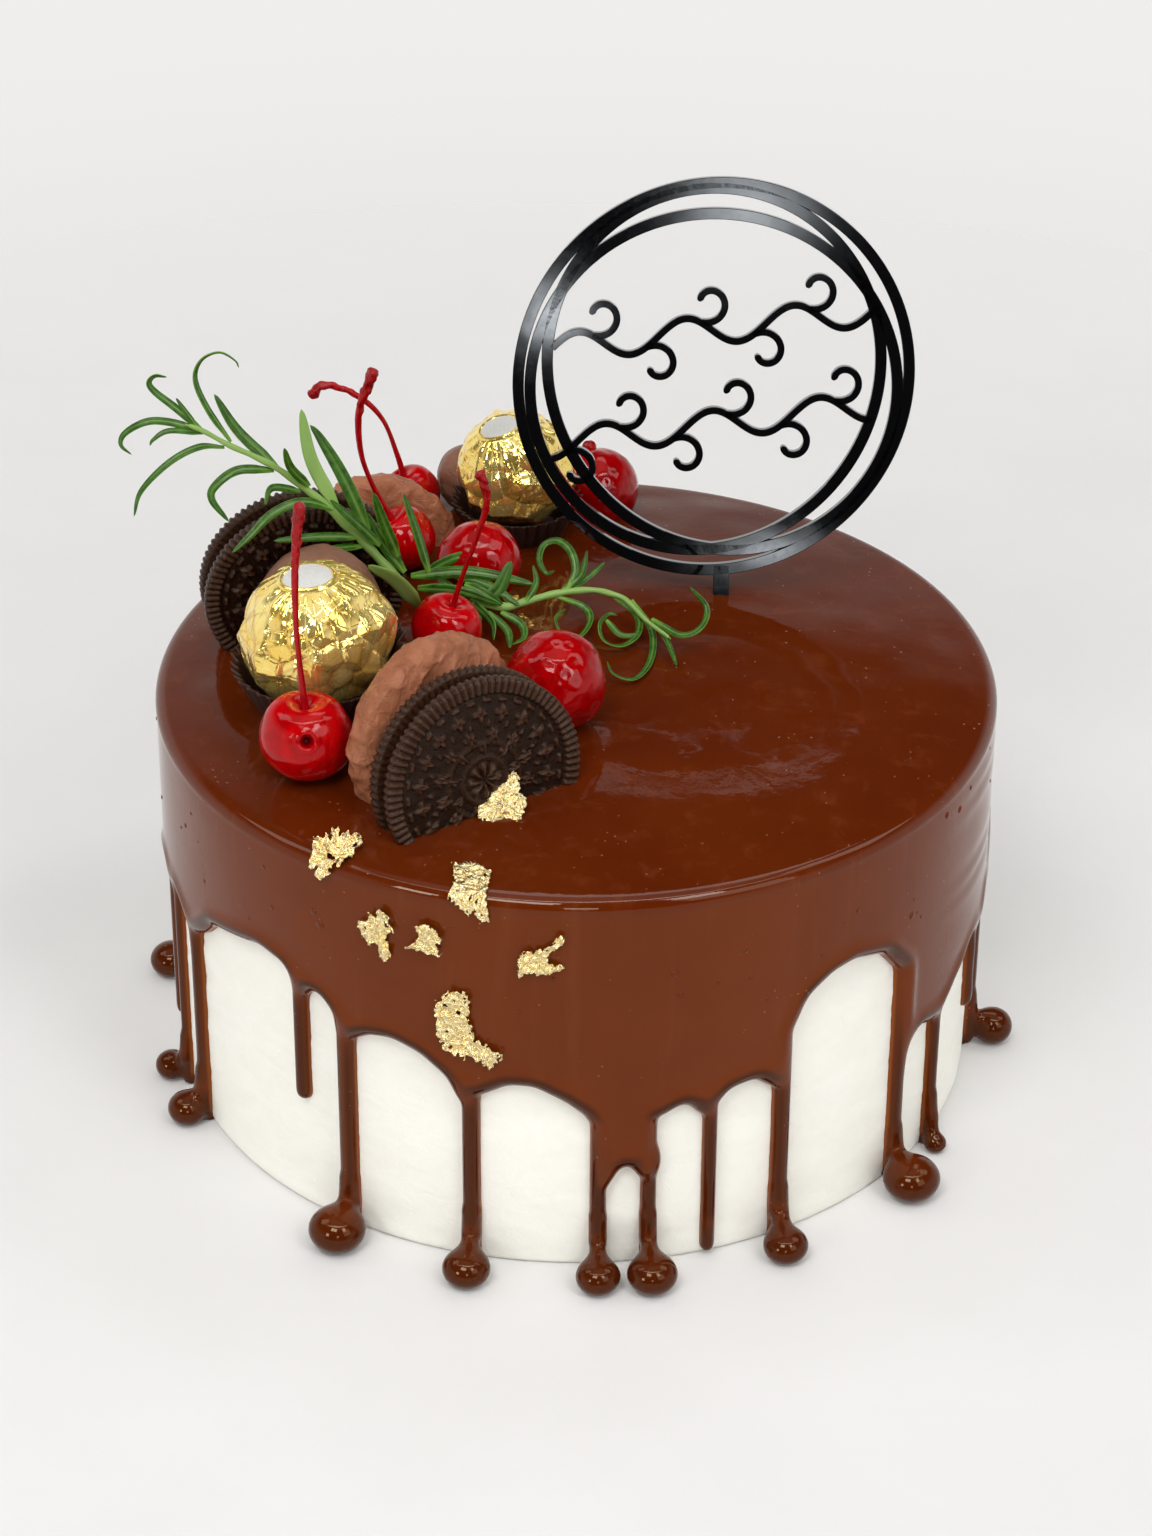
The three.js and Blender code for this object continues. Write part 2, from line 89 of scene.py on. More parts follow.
def smooth_line(points, n):
    p = np.asarray(points, float)
    e = np.vstack([2 * p[0] - p[1], p, 2 * p[-1] - p[-2]])
    t = np.linspace(0, 1, 16, endpoint=False)[:, None]
    out = []
    for i in range(len(p) - 1):
        a, b, c, d = e[i : i + 4]
        out.append(0.5 * (2 * b + (c - a) * t + (2 * a - 5 * b + 4 * c - d) * t**2 + (3 * b - a - 3 * c + d) * t**3))
    q = np.vstack(out + [p[-1:]])
    d = np.r_[0, np.cumsum(np.linalg.norm(np.diff(q, axis=0), axis=1))]
    s = np.linspace(0, d[-1], n)
    return np.stack([np.interp(s, d, q[:, k]) for k in range(q.shape[1])], 1)


def axes_along(q, hint):
    t = unit(np.gradient(q, axis=0))
    n = np.zeros_like(q)
    v = np.asarray(hint, float)
    for i in range(len(q)):
        v = v - (v @ t[i]) * t[i]
        v = v / max(np.linalg.norm(v), 1e-9)
        n[i] = v
    return t, np.cross(t, n), n


# ---- meshes ----------------------------------------------------------------------------------
def grid(nu, nv, wrap_u=False, wrap_v=False, start=0):
    a, b = np.meshgrid(np.arange(nu if wrap_u else nu - 1), np.arange(nv if wrap_v else nv - 1), indexing="ij")
    c, d = (a + 1) % nu, (b + 1) % nv
    return np.stack([a * nv + b, c * nv + b, c * nv + d, a * nv + d], -1).reshape(-1, 4) + start


class Shape:
    """Vertices in mm, faces, a material number for each face and named numbers for each vertex."""

    def __init__(self):
        self.v, self.f, self.m, self.a, self.n = [], [], [], [], 0

    def add(self, verts, faces, material=0, **values):
        verts = np.asarray(verts, float).reshape(-1, 3)
        self.v.append(verts)
        self.f.append(np.asarray(faces) + self.n)
        self.m.append(np.full(len(faces), material))
        self.a.append((len(verts), values))
        self.n += len(verts)
        return self

    def piece(self, name, slot, materials, replaces=(), flat=False, outward=True):
        verts = np.vstack(self.v)
        loops = np.concatenate([f.ravel() for f in self.f])
        sizes = np.concatenate([np.full(len(f), f.shape[1]) for f in self.f])
        me = bpy.data.meshes.new(name)
        me.vertices.add(len(verts))
        me.vertices.foreach_set("co", (verts * MM).astype(np.float32).ravel())
        me.loops.add(len(loops))
        me.loops.foreach_set("vertex_index", loops.astype(np.int32))
        me.polygons.add(len(sizes))
        me.polygons.foreach_set("loop_start", np.r_[0, np.cumsum(sizes)[:-1]].astype(np.int32))
        me.polygons.foreach_set("use_smooth", np.full(len(sizes), not flat))
        me.polygons.foreach_set("material_index", np.concatenate(self.m).astype(np.int32))
        for key in sorted({k for _, values in self.a for k in values}):
            data = np.concatenate([np.broadcast_to(np.asarray(v.get(key, 0.0), float).ravel(), (n,)) for n, v in self.a])
            me.attributes.new(key, "FLOAT", "POINT").data.foreach_set("value", data.astype(np.float32))
        me.update(calc_edges=True)
        for m in materials:
            me.materials.append(m)
        o = bpy.data.objects.new(name, me)
        bpy.context.scene.collection.objects.link(o)
        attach(o, "root")
        if replaces:
            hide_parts(*replaces)
        return o


def ball_grid(nu, nv):
    """Unit directions on a grid, nu round the Z axis and nv from pole to pole."""
    u = np.arange(nu) / nu * 2 * math.pi
    v = np.linspace(-math.pi / 2 + 1e-3, math.pi / 2 - 1e-3, nv)
    uu, vv = np.meshgrid(u, v, indexing="ij")
    return np.stack([np.cos(uu) * np.cos(vv), np.sin(uu) * np.cos(vv), np.sin(vv)], -1)


def turned_to(axis, p):
    """Turns directions so that +Z lies along axis."""
    q = Vector((0, 0, 1)).rotation_difference(Vector([float(c) for c in axis])).to_matrix()
    return p @ np.array(q).T


def tube(shape, points, n, m, radius, flatness=1.0, hint=(0, -0.5, 0.85), material=0, rough=0.0, seed=0, **values):
    q = smooth_line(points, n)
    t, s, up = axes_along(q, hint)
    f = np.linspace(0, 1, n)
    r = np.array([radius(x) for x in f])
    a = np.arange(m) / m * 2 * math.pi
    ring = s[:, None] * np.cos(a)[None, :, None] + up[:, None] * (np.sin(a) * flatness)[None, :, None]
    v = q[:, None] + ring * r[:, None, None]
    if rough:
        v = v + ring * (rough * lumps(v, seed, 2.2) * r[:, None] * step(0.62, 0.75, f)[:, None])[..., None]
    shape.add(v, grid(n, m, wrap_v=True), material, along=np.repeat(f, m), under=np.tile((np.sin(a) < -0.2) * 1.0, n), **values)


# ---- materials -------------------------------------------------------------------------------
class Mat:
    """A node material around one Principled shader. Coordinates are object coordinates in mm."""

    def __init__(self, name, **sockets):
        self.m = bpy.data.materials.new(name)
        self.m.use_nodes = True
        self.t = self.m.node_tree
        self.t.nodes.clear()
        self.out = self.t.nodes.new("ShaderNodeOutputMaterial")
        self.b = self.t.nodes.new("ShaderNodeBsdfPrincipled")
        self.t.links.new(self.b.outputs[0], self.out.inputs[0])
        co = self.t.nodes.new("ShaderNodeTexCoord")
        self.co = self.node("ShaderNodeVectorMath", {"operation": "SCALE"}, {0: co.outputs["Object"], "Scale": 1000.0}).outputs[0]
        for key, value in sockets.items():
            self.set(key.replace("_", " "), value)

    def put(self, socket, value):
        if isinstance(value, bpy.types.NodeSocket):
            self.t.links.new(value, socket)
        elif isinstance(value, (tuple, list)) and len(value) == 3 and len(socket.default_value) == 4:
            socket.default_value = (*value, 1)
        else:
            socket.default_value = value

    def set(self, name, value):
        self.put(self.b.inputs[name], value)
        return self

    def node(self, kind, props=None, inputs=None):
        n = self.t.nodes.new(kind)
        for k, v in (props or {}).items():
            setattr(n, k, v)
        for k, v in (inputs or {}).items():
            self.put(n.inputs[k], v)
        return n

    def noise(self, scale, detail=2.0, rough=0.5, warp=0.0, co=None):
        """scale is one over the size in mm"""
        return self.node("ShaderNodeTexNoise", None, {"Vector": co or self.co, "Scale": scale, "Detail": detail, "Roughness": rough, "Distortion": warp}).outputs["Fac"]

    def cells(self, scale, feature="F1", co=None, rand=1.0):
        return self.node("ShaderNodeTexVoronoi", {"feature": feature}, {"Vector": co or self.co, "Scale": scale, "Randomness": rand}).outputs["Distance"]

    def warped(self, scale, amount):
        """Coordinates pushed about by a noise, in mm."""
        n = self.node("ShaderNodeTexNoise", None, {"Vector": self.co, "Scale": scale, "Detail": 2.0})
        c = self.node("ShaderNodeVectorMath", {"operation": "SUBTRACT"}, {0: n.outputs["Color"], 1: (0.5, 0.5, 0.5)}).outputs[0]
        c = self.node("ShaderNodeVectorMath", {"operation": "SCALE"}, {0: c, "Scale": 2.0 * amount}).outputs[0]
        return self.node("ShaderNodeVectorMath", {"operation": "ADD"}, {0: self.co, 1: c}).outputs[0]

    def stretch(self, x, y, z, co=None):
        return self.node("ShaderNodeVectorMath", {"operation": "MULTIPLY"}, {0: co or self.co, 1: (x, y, z)}).outputs[0]

    def axis(self, which, co=None):
        return self.node("ShaderNodeSeparateXYZ", None, {0: co or self.co}).outputs[which]

    def math(self, op, a, b=0.0):
        return self.node("ShaderNodeMath", {"operation": op}, {0: a, 1: b}).outputs[0]

    def span(self, v, a, b, c=0.0, d=1.0):
        return self.node("ShaderNodeMapRange", {"interpolation_type": "SMOOTHSTEP"}, {"Value": v, "From Min": a, "From Max": b, "To Min": c, "To Max": d}).outputs[0]

    def mix(self, f, a, b, mode="MIX"):
        n = self.node("ShaderNodeMix", {"data_type": "RGBA", "blend_type": mode})
        self.put(n.inputs[0], f)
        self.put(n.inputs[6], a)
        self.put(n.inputs[7], b)
        return n.outputs[2]

    def value(self, name):
        return self.node("ShaderNodeAttribute", {"attribute_name": name}).outputs["Fac"]

    def bump(self, height, mm, normal=None, strength=1.0):
        n = self.node("ShaderNodeBump", None, {"Strength": strength, "Distance": mm * MM, "Height": height})
        if normal:
            self.put(n.inputs["Normal"], normal)
        return n.outputs[0]


def glaze_material():
    m = Mat("dark_glaze", Roughness=0.05, IOR=1.36)
    height = m.axis(2)
    wall = m.span(height, 92.8, 88.0)
    broad = m.noise(0.035, 3.0, 0.55)
    streak = m.noise(0.16, 4.0, 0.6, 0.4, m.stretch(1, 1, 0.12))
    # painted shade: the domed top gets a darker brown than the wall, here and in the blotches below, for the weaker
    # light on the top
    base = m.mix(wall, (0.096, 0.0142, 0.0014), (0.134, 0.0215, 0.0018))
    base = m.mix(m.span(broad, 0.35, 0.7), base, m.mix(wall, (0.085, 0.011, 0.001), (0.117, 0.0175, 0.0012)))
    base = m.mix(m.math("MULTIPLY", m.span(streak, 0.52, 0.75), 0.35), base, (0.16, 0.036, 0.011))
    # painted shade: darker over the drips, down their sides, in a band above each arch and on the drops at the foot
    base = m.mix(m.math("MULTIPLY", m.value("low"), 0.92), base, (0.036, 0.0055, 0.0009))
    # painted shade: the glaze is darkened towards the floor, below 9 mm
    base = m.mix(m.span(height, 9.0, 5.0, 0.0, 0.6), base, (0.05, 0.009, 0.0018))
    # painted highlight: a lighter line down the middle of each drip
    base = m.mix(m.math("MULTIPLY", m.value("core"), 0.5), base, (0.16, 0.038, 0.008))
    base = m.mix(m.math("MULTIPLY", m.value("thin"), 0.75), base, (0.29, 0.08, 0.016))
    specks = m.cells(0.42)
    dots = m.math("MULTIPLY", m.span(specks, 0.13, 0.06), m.span(m.noise(0.11, 2.0), 0.5, 0.62))
    base = m.mix(m.math("MULTIPLY", dots, 0.5), base, (0.3, 0.12, 0.07))
    m.set("Base Color", base)
    n = m.bump(m.noise(0.09, 3.0, 0.5, 0.2), 0.075)
    n = m.bump(m.noise(0.6, 2.0, 0.5), 0.012, n)
    n = m.bump(dots, 0.05, n)
    m.set("Normal", n)
    # painted reflection: the wall's specular tint is warmer than the top's, standing in for the reflection of a gold
    # board that is not in the scene; thin edges get a dim tint
    m.set("Specular Tint", m.mix(m.math("MULTIPLY", m.value("thin"), 0.8), m.mix(wall, (1.0, 0.9, 0.8), (1.0, 0.76, 0.5)), (0.4, 0.26, 0.15)))
    m.set("Roughness", m.math("ADD", m.span(m.noise(0.2, 3.0), 0.3, 0.75, 0.035, 0.07), m.math("MULTIPLY", m.value("thin"), 0.4)))
    return m.m


def cream_material():
    m = Mat("whipped_cream", IOR=1.4, Subsurface_Weight=0.12, Subsurface_Scale=0.002)
    m.b.inputs["Subsurface Radius"].default_value = (1.0, 0.75, 0.5)
    band = m.noise(0.2, 5.0, 0.6, 1.1, m.stretch(0.6, 0.6, 1.1))
    fine = m.noise(1.6, 4.0, 0.62)
    base = m.mix(m.span(band, 0.3, 0.72), (0.94, 0.92, 0.835), (0.965, 0.95, 0.872))
    base = m.mix(m.math("MULTIPLY", m.span(fine, 0.58, 0.75), 0.25), base, (0.84, 0.815, 0.74))
    m.set("Base Color", base)
    n = m.bump(band, 0.17)
    n = m.bump(fine, 0.05, n)
    pits = m.span(m.cells(0.5), 0.12, 0.03)
    n = m.bump(m.math("MULTIPLY", pits, -1.0), 0.08, n)
    m.set("Normal", n)
    m.set("Roughness", m.span(fine, 0.3, 0.7, 0.5, 0.68))
    return m.m


def acrylic_material():
    m = Mat("black_sheet", Base_Color=(0.0028, 0.0028, 0.0032), IOR=1.5, Specular_Tint=(0.86, 0.93, 1.0))
    n = m.bump(m.noise(0.07, 2.0, 0.5), 0.014)
    m.set("Normal", n)
    m.set("Roughness", m.span(m.noise(0.9, 4.0, 0.65), 0.35, 0.8, 0.02, 0.045))
    return m.m


def wafer_material():
    m = Mat("cocoa_wafer", IOR=1.42, Specular_IOR_Level=0.34, Specular_Tint=(1.0, 0.82, 0.68))
    crumb = m.noise(1.3, 6.0, 0.68)
    fine = m.noise(5.0, 4.0, 0.7)
    base = m.mix(m.span(crumb, 0.3, 0.72), (0.038, 0.0132, 0.006), (0.074, 0.0295, 0.0145))
    # painted shade: all that lies below the raised motif and between the rim ribs is darkened
    base = m.mix(m.math("MULTIPLY", m.math("SUBTRACT", 1.0, m.value("relief")), 0.86), base, (0.005, 0.0012, 0.0004))
    base = m.mix(m.math("MULTIPLY", m.span(fine, 0.62, 0.75), 0.4), base, (0.085, 0.052, 0.038))
    m.set("Base Color", base)
    n = m.bump(crumb, 0.12)
    n = m.bump(fine, 0.04, n)
    n = m.bump(m.math("MULTIPLY", m.span(m.cells(1.1), 0.2, 0.05), -1.0), 0.12, n)
    m.set("Normal", n)
    m.set("Roughness", m.span(crumb, 0.3, 0.75, 0.22, 0.42))
    return m.m


def filling_material():
    m = Mat("dark_filling", IOR=1.42)
    crumb = m.noise(0.9, 5.0, 0.65)
    m.set("Base Color", m.mix(m.span(crumb, 0.3, 0.7), (0.009, 0.0045, 0.003), (0.022, 0.011, 0.008)))
    m.set("Normal", m.bump(crumb, 0.3))
    m.set("Roughness", m.span(crumb, 0.3, 0.7, 0.38, 0.6))
    return m.m


def coating_material(name, dark, light, sheen):
    m = Mat(name, IOR=1.42, Specular_IOR_Level=0.32, Specular_Tint=(1.0, 0.85, 0.72))
    broad = m.noise(0.12, 4.0, 0.6, 0.8)
    fine = m.noise(1.7, 4.0, 0.6)
    base = m.mix(m.span(broad, 0.3, 0.7), dark, light)
    base = m.mix(m.math("MULTIPLY", m.span(fine, 0.6, 0.78), 0.3), base, tuple(min(1, 1.5 * c) for c in light))
    m.set("Base Color", base)
    n = m.bump(m.noise(0.3, 4.0, 0.6, 0.9), 0.7)
    n = m.bump(fine, 0.045, n)
    m.set("Normal", n)
    m.set("Roughness", m.span(broad, 0.25, 0.75, sheen, sheen + 0.14))
    return m.m


def foil_material():
    m = Mat("gold_foil", Metallic=0.74, IOR=1.45)
    broad = m.noise(0.16, 3.0, 0.5, 0.5)
    fine = m.cells(0.75)
    base = m.mix(m.span(broad, 0.3, 0.7), (0.95, 0.66, 0.13), (1.0, 0.82, 0.3))
    # painted shade: dark brown lines along the foil's creases
    base = m.mix(m.math("MULTIPLY", m.value("crease"), 0.75), base, (0.5, 0.2, 0.012))
    m.set("Base Color", base)
    bent = m.warped(0.3, 0.9)
    creases = m.span(m.cells(0.3, "DISTANCE_TO_EDGE", bent), 0.0, 0.11)
    n = m.bump(creases, 0.03)
    n = m.bump(fine, 0.004, n)
    m.set("Normal", n)
    m.set("Roughness", m.span(m.noise(0.8, 4.0, 0.6), 0.3, 0.75, 0.07, 0.13))
    return m.m


def label_material():
    m = Mat("blank_label", IOR=1.45)
    grain = m.noise(3.0, 4.0, 0.6)
    m.set("Base Color", m.mix(m.span(grain, 0.3, 0.7), (0.52, 0.515, 0.49), (0.62, 0.61, 0.59)))
    m.set("Normal", m.bump(grain, 0.02))
    m.set("Roughness", m.span(grain, 0.3, 0.7, 0.25, 0.4))
    return m.m


def paper_material():
    m = Mat("cup_paper", IOR=1.4)
    fibre = m.noise(2.4, 5.0, 0.65, 0.4)
    base = m.mix(m.span(fibre, 0.3, 0.72), (0.022, 0.0085, 0.006), (0.052, 0.022, 0.015))
    # painted highlight: the outer ridges of the pleats are lighter
    base = m.mix(m.math("MULTIPLY", m.value("fold"), 0.5), base, (0.09, 0.042, 0.03))
    m.set("Base Color", base)
    m.set("Normal", m.bump(fibre, 0.06))
    m.set("Roughness", m.span(fibre, 0.3, 0.7, 0.34, 0.55))
    return m.m


def fruit_material(name, deep, bright, rough, pebble):
    m = Mat(name, IOR=1.42, Specular_IOR_Level=0.36, Specular_Tint=(1.0, 0.8, 0.8), Coat_Weight=0.06, Coat_Roughness=0.02, Coat_IOR=1.45, Subsurface_Weight=0.08, Subsurface_Scale=0.003)
    m.b.inputs["Subsurface Radius"].default_value = (1.0, 0.12, 0.08)
    broad = m.noise(0.16, 4.0, 0.6, 0.6)
    fine = m.noise(1.1, 3.0, 0.6)
    base = m.mix(m.span(broad, 0.3, 0.7), deep, bright)
    # painted shade: darker in the stem dimple, the stone hole and the berries' dents
    base = m.mix(m.math("MULTIPLY", m.value("pit"), 0.8), base, tuple(0.35 * c for c in deep))
    m.set("Base Color", base)
    n = m.bump(m.noise(0.2, 2.0, 0.4), 0.07 + pebble)
    n = m.bump(fine, 0.02 + 0.12 * pebble, n)
    m.set("Normal", n)
    m.put(m.b.inputs["Coat Normal"], n)
    m.set("Roughness", m.span(fine, 0.3, 0.7, rough, rough + 0.1))
    return m.m


def stem_material():
    m = Mat("fruit_stem", IOR=1.42, Specular_IOR_Level=0.35)
    grain = m.noise(0.9, 5.0, 0.65, 0.3, m.stretch(2.2, 2.2, 0.35))
    base = m.mix(m.span(grain, 0.3, 0.7), (0.24, 0.0, 0.001), (0.42, 0.0, 0.003))
    m.set("Base Color", m.mix(m.math("MULTIPLY", m.span(m.value("along"), 0.72, 0.95), 0.5), base, (0.2, 0.006, 0.008)))
    m.set("Normal", m.bump(grain, 0.08))
    m.set("Roughness", m.span(grain, 0.3, 0.7, 0.2, 0.34))
    return m.m


def leaf_material():
    m = Mat("needle_leaf", IOR=1.5, Specular_IOR_Level=0.34, Specular_Tint=(1.0, 1.0, 0.85))
    grain = m.noise(0.5, 4.0, 0.6)
    fine = m.noise(2.6, 3.0, 0.6)
    top = m.mix(m.span(grain, 0.3, 0.7), (0.009, 0.05, 0.002), (0.034, 0.12, 0.006))
    base = m.mix(m.value("under"), top, (0.15, 0.27, 0.06))
    base = m.mix(m.math("MULTIPLY", m.value("groove"), 0.6), base, (0.22, 0.36, 0.09))
    base = m.mix(m.math("MULTIPLY", m.value("pale"), 0.8), base, (0.27, 0.42, 0.12))
    base = m.mix(m.math("MULTIPLY", m.value("edge"), 0.7), base, (0.17, 0.36, 0.035))
    m.set("Base Color", base)
    m.set("Normal", m.bump(fine, 0.05))
    m.set("Roughness", m.span(fine, 0.3, 0.7, 0.16, 0.28))
    m.b.inputs["Transmission Weight"].default_value = 0.0
    return m.m


def gold_leaf_material():
    m = Mat("gold_leaf", Metallic=1.0, IOR=1.45)
    crumple = m.cells(0.9)
    fine = m.noise(1.8, 5.0, 0.7, 0.8)
    base = m.mix(m.span(fine, 0.3, 0.7), (0.97, 0.69, 0.25), (1.0, 0.93, 0.62))
    m.set("Base Color", base)
    n = m.bump(crumple, 0.55)
    n = m.bump(fine, 0.28, n)
    m.set("Normal", n)
    m.set("Roughness", m.span(fine, 0.3, 0.7, 0.16, 0.32))
    return m.m


GLAZE = glaze_material()
CREAM = cream_material()
ACRYLIC = acrylic_material()
WAFER = wafer_material()
FILLING = filling_material()
COATING = coating_material("milk_coating", (0.25, 0.086, 0.04), (0.36, 0.134, 0.068), 0.24)
TRUFFLE = coating_material("truffle_coating", (0.17, 0.074, 0.045), (0.215, 0.098, 0.06), 0.3)
FOIL = foil_material()
LABEL = label_material()
PAPER = paper_material()
CHERRY = fruit_material("cherry_skin", (0.3, 0.0, 0.001), (0.46, 0.0, 0.0018), 0.035, 0.0)
BERRY = fruit_material("berry_skin", (0.25, 0.0, 0.0006), (0.38, 0.0, 0.0009), 0.035, 0.0)
STEM = stem_material()
LEAF = leaf_material()
GOLD_LEAF = gold_leaf_material()


# ---- chocolate glaze -------------------------------------------------------------------------
# azimuth, width, height of the foot, then the bare arch after it: crown, near and far shoulder
POOLED = -3.0
DRIPS = [
    (-175, 3, 7, 55, 50, 50), (-164.5, 3.2, POOLED, 54, 51, 44), (-155.5, 4.0, POOLED, 62, 51, 58),
    (-129.6, 3.9, 28, 57, 55, 50), (-122, 4.5, POOLED, 53, 49, 38), (-103.8, 4.0, POOLED, 46.5, 43, 37),
    (-86.7, 3.6, POOLED, 27, 20, 23), (-79.9, 3.5, POOLED, 41, 38, 36), (-71.5, 3.3, 0.4, 43.5, 39, 39),
    (-61, 4.2, POOLED, 64.4, 53, 56), (-39.5, 4.2, POOLED, 35.5, 26, 33), (-29.8, 3.6, POOLED, 44, 36, 43),
    (-14, 3.6, 20, 46, 42, 40), (-4, 4.0, POOLED, 60, 50, 52), (12, 4.2, 24, 52, 48, 44),
    (24, 3.9, POOLED, 58, 50, 48), (43, 4.3, POOLED, 44, 40, 38), (55, 3.6, 12, 50, 46, 44),
    (66, 3.9, POOLED, 62, 52, 54), (88, 4.3, POOLED, 46, 40, 42), (98, 3.6, 30, 49, 45, 44),
    (110, 3.9, POOLED, 59, 50, 46), (128, 4.1, POOLED, 38, 33, 35), (137, 3.4, 4, 52, 46, 44),
    (148, 3.9, POOLED, 60, 50, 52), (168, 4.1, POOLED, 50, 44, 46),
]  # fmt: skip
# arches whose lower edge isn't even: (azimuth, height) after the drip of that number
ARCHES = {
    2: [(-153.9, 50), (-151, 52.9), (-147.7, 57.7), (-139.5, 60.9), (-136.3, 62.3), (-131.3, 61.0), (-130.8, 57)],
    4: [(-120.4, 49.6), (-117.7, 52.1), (-114.4, 52.8), (-110.7, 50.9), (-107, 46.3), (-105.4, 40.4)],
    5: [(-102.2, 42.9), (-98.5, 46.3), (-95.3, 46.3), (-91.4, 43), (-88.5, 39.3), (-87.9, 37)],
    6: [(-85.5, 20.4), (-83.3, 26.9), (-81.1, 23.3)],
    7: [(-78.4, 38), (-75.3, 40.8), (-72.8, 36.5)],
    8: [(-70.4, 39.4), (-69, 42.2), (-65.6, 43.2), (-62.5, 39.4)],
    9: [(-59.6, 53.1), (-57.6, 60.1), (-53.9, 63.6), (-50.2, 64.4), (-44.8, 62), (-41.0, 55.2)],
    11: [(-28.6, 36), (-25.9, 38.6), (-20.5, 43.5), (-17.9, 43.9), (-15.4, 41)],
}  # fmt: skip
# the drop at the foot of a drip: azimuth of the drip, its width, then of the drop azimuth, distance, radius, half height
DROPS = [
    (-164.5, 3.2, -166.6, 92.6, 3.6, 3.3), (-155.5, 4.2, -155.8, 93.2, 4.4, 3.8), (-122, 4.6, -121.2, 95.9, 6.1, 4.9),
    (-103.8, 4.0, -103.3, 96.5, 5.1, 4.0), (-86.7, 3.6, -86.9, 96.4, 4.7, 3.8), (-79.9, 3.6, -80.2, 97.1, 5.3, 4.2),
    (-61, 4.2, -62.4, 96.4, 4.8, 3.8), (-39.5, 4.2, -41.1, 96.3, 6.2, 4.8), (-29.8, 3.4, -31.1, 92.2, 2.5, 2.1),
    (-4, 4.0, -3.4, 95.1, 4.5, 4.2), (24, 4.2, 24.4, 95.8, 4.8, 3.9), (43, 4.6, 42.5, 96.2, 5.6, 4.5),
    (66, 4.2, 66.3, 95.4, 4.6, 3.8), (88, 4.6, 87.4, 96.4, 5.8, 4.6), (110, 4.2, 110.5, 95.6, 4.9, 3.9),
    (128, 4.4, 127.6, 96.2, 5.4, 4.3), (148, 4.2, 148.4, 95.2, 4.5, 3.7), (168, 4.4, 168.3, 95.6, 5, 4.1),
]  # fmt: skip
S_ALL = 2 * math.pi * GLAZE_R


def swell(azimuth, z):
    """Slow unevenness of the glazed wall, in mm."""
    a = azimuth * RAD
    return (
        0.10 * np.sin(3 * a + 0.7 + 0.02 * z) + 0.07 * np.sin(7 * a + 2.1 + 0.05 * z)
        + 0.05 * np.sin(13 * a - 0.04 * z) * np.cos(0.06 * z + 1.0) + 0.035 * np.sin(22 * a + 1.3) * np.sin(0.09 * z)
        + 0.11 * np.exp(-(((azimuth + 17) / 10) ** 2)) * np.sin(0.85 * z + 9 * a + 1.5 * np.sin(0.3 * z))
    )  # fmt: skip


def hem_line():
    """The glaze's lower edge as points (s, z), s along the wall from azimuth -180."""
    rng = np.random.default_rng(11)
    line = []
    for i, (az, width, foot, crown, near, far) in enumerate(DRIPS):
        nxt = DRIPS[(i + 1) % len(DRIPS)]
        half = width / 2 / GLAZE_R / RAD
        start = az + half
        end = (nxt[0] + 360 if nxt[0] < az else nxt[0]) - nxt[1] / 2 / GLAZE_R / RAD
        a = np.linspace(start, end, max(9, int((end - start) / 0.35)))
        if i in ARCHES:
            p = np.array(ARCHES[i], float)
            z = np.interp(a, p[:, 0], p[:, 1])
            for _ in range(3):
                z[1:-1] = 0.25 * z[:-2] + 0.5 * z[1:-1] + 0.25 * z[2:]
        else:
            t = (a - start) / (end - start)
            base = near + (far - near) * t
            z = base + (crown - base) * (1 - np.abs(2 * t - 1) ** 2.4) ** (1 / 2.4)
            z = z + 0.9 * np.sin(math.pi * t) * np.sin(t * rng.uniform(5, 9) + rng.uniform(0, 6))
        c = az * RAD * GLAZE_R
        h = width / 2
        turn = np.linspace(math.pi, 2 * math.pi, 9)
        base_z = foot + h
        before = line[-1][1] if line else None
        line_z = [] if before is None else list(np.arange(before - 0.6, base_z, -0.6))
        for zz in line_z:
            line.append((c - h, zz))
        for u in turn:
            line.append((c + h * math.cos(u), base_z + h * math.sin(u)))
        for zz in np.arange(base_z + 0.6, z[0], 0.6):
            line.append((c + h, zz))
        line += list(zip(a * RAD * GLAZE_R, z))
    first = line[0]
    for zz in np.arange(line[-1][1] - 0.6, first[1], -0.6):
        line.append((first[0] + S_ALL, zz))
    line.append((first[0] + S_ALL, first[1]))
    return np.array(line) + [math.pi * GLAZE_R, 0]


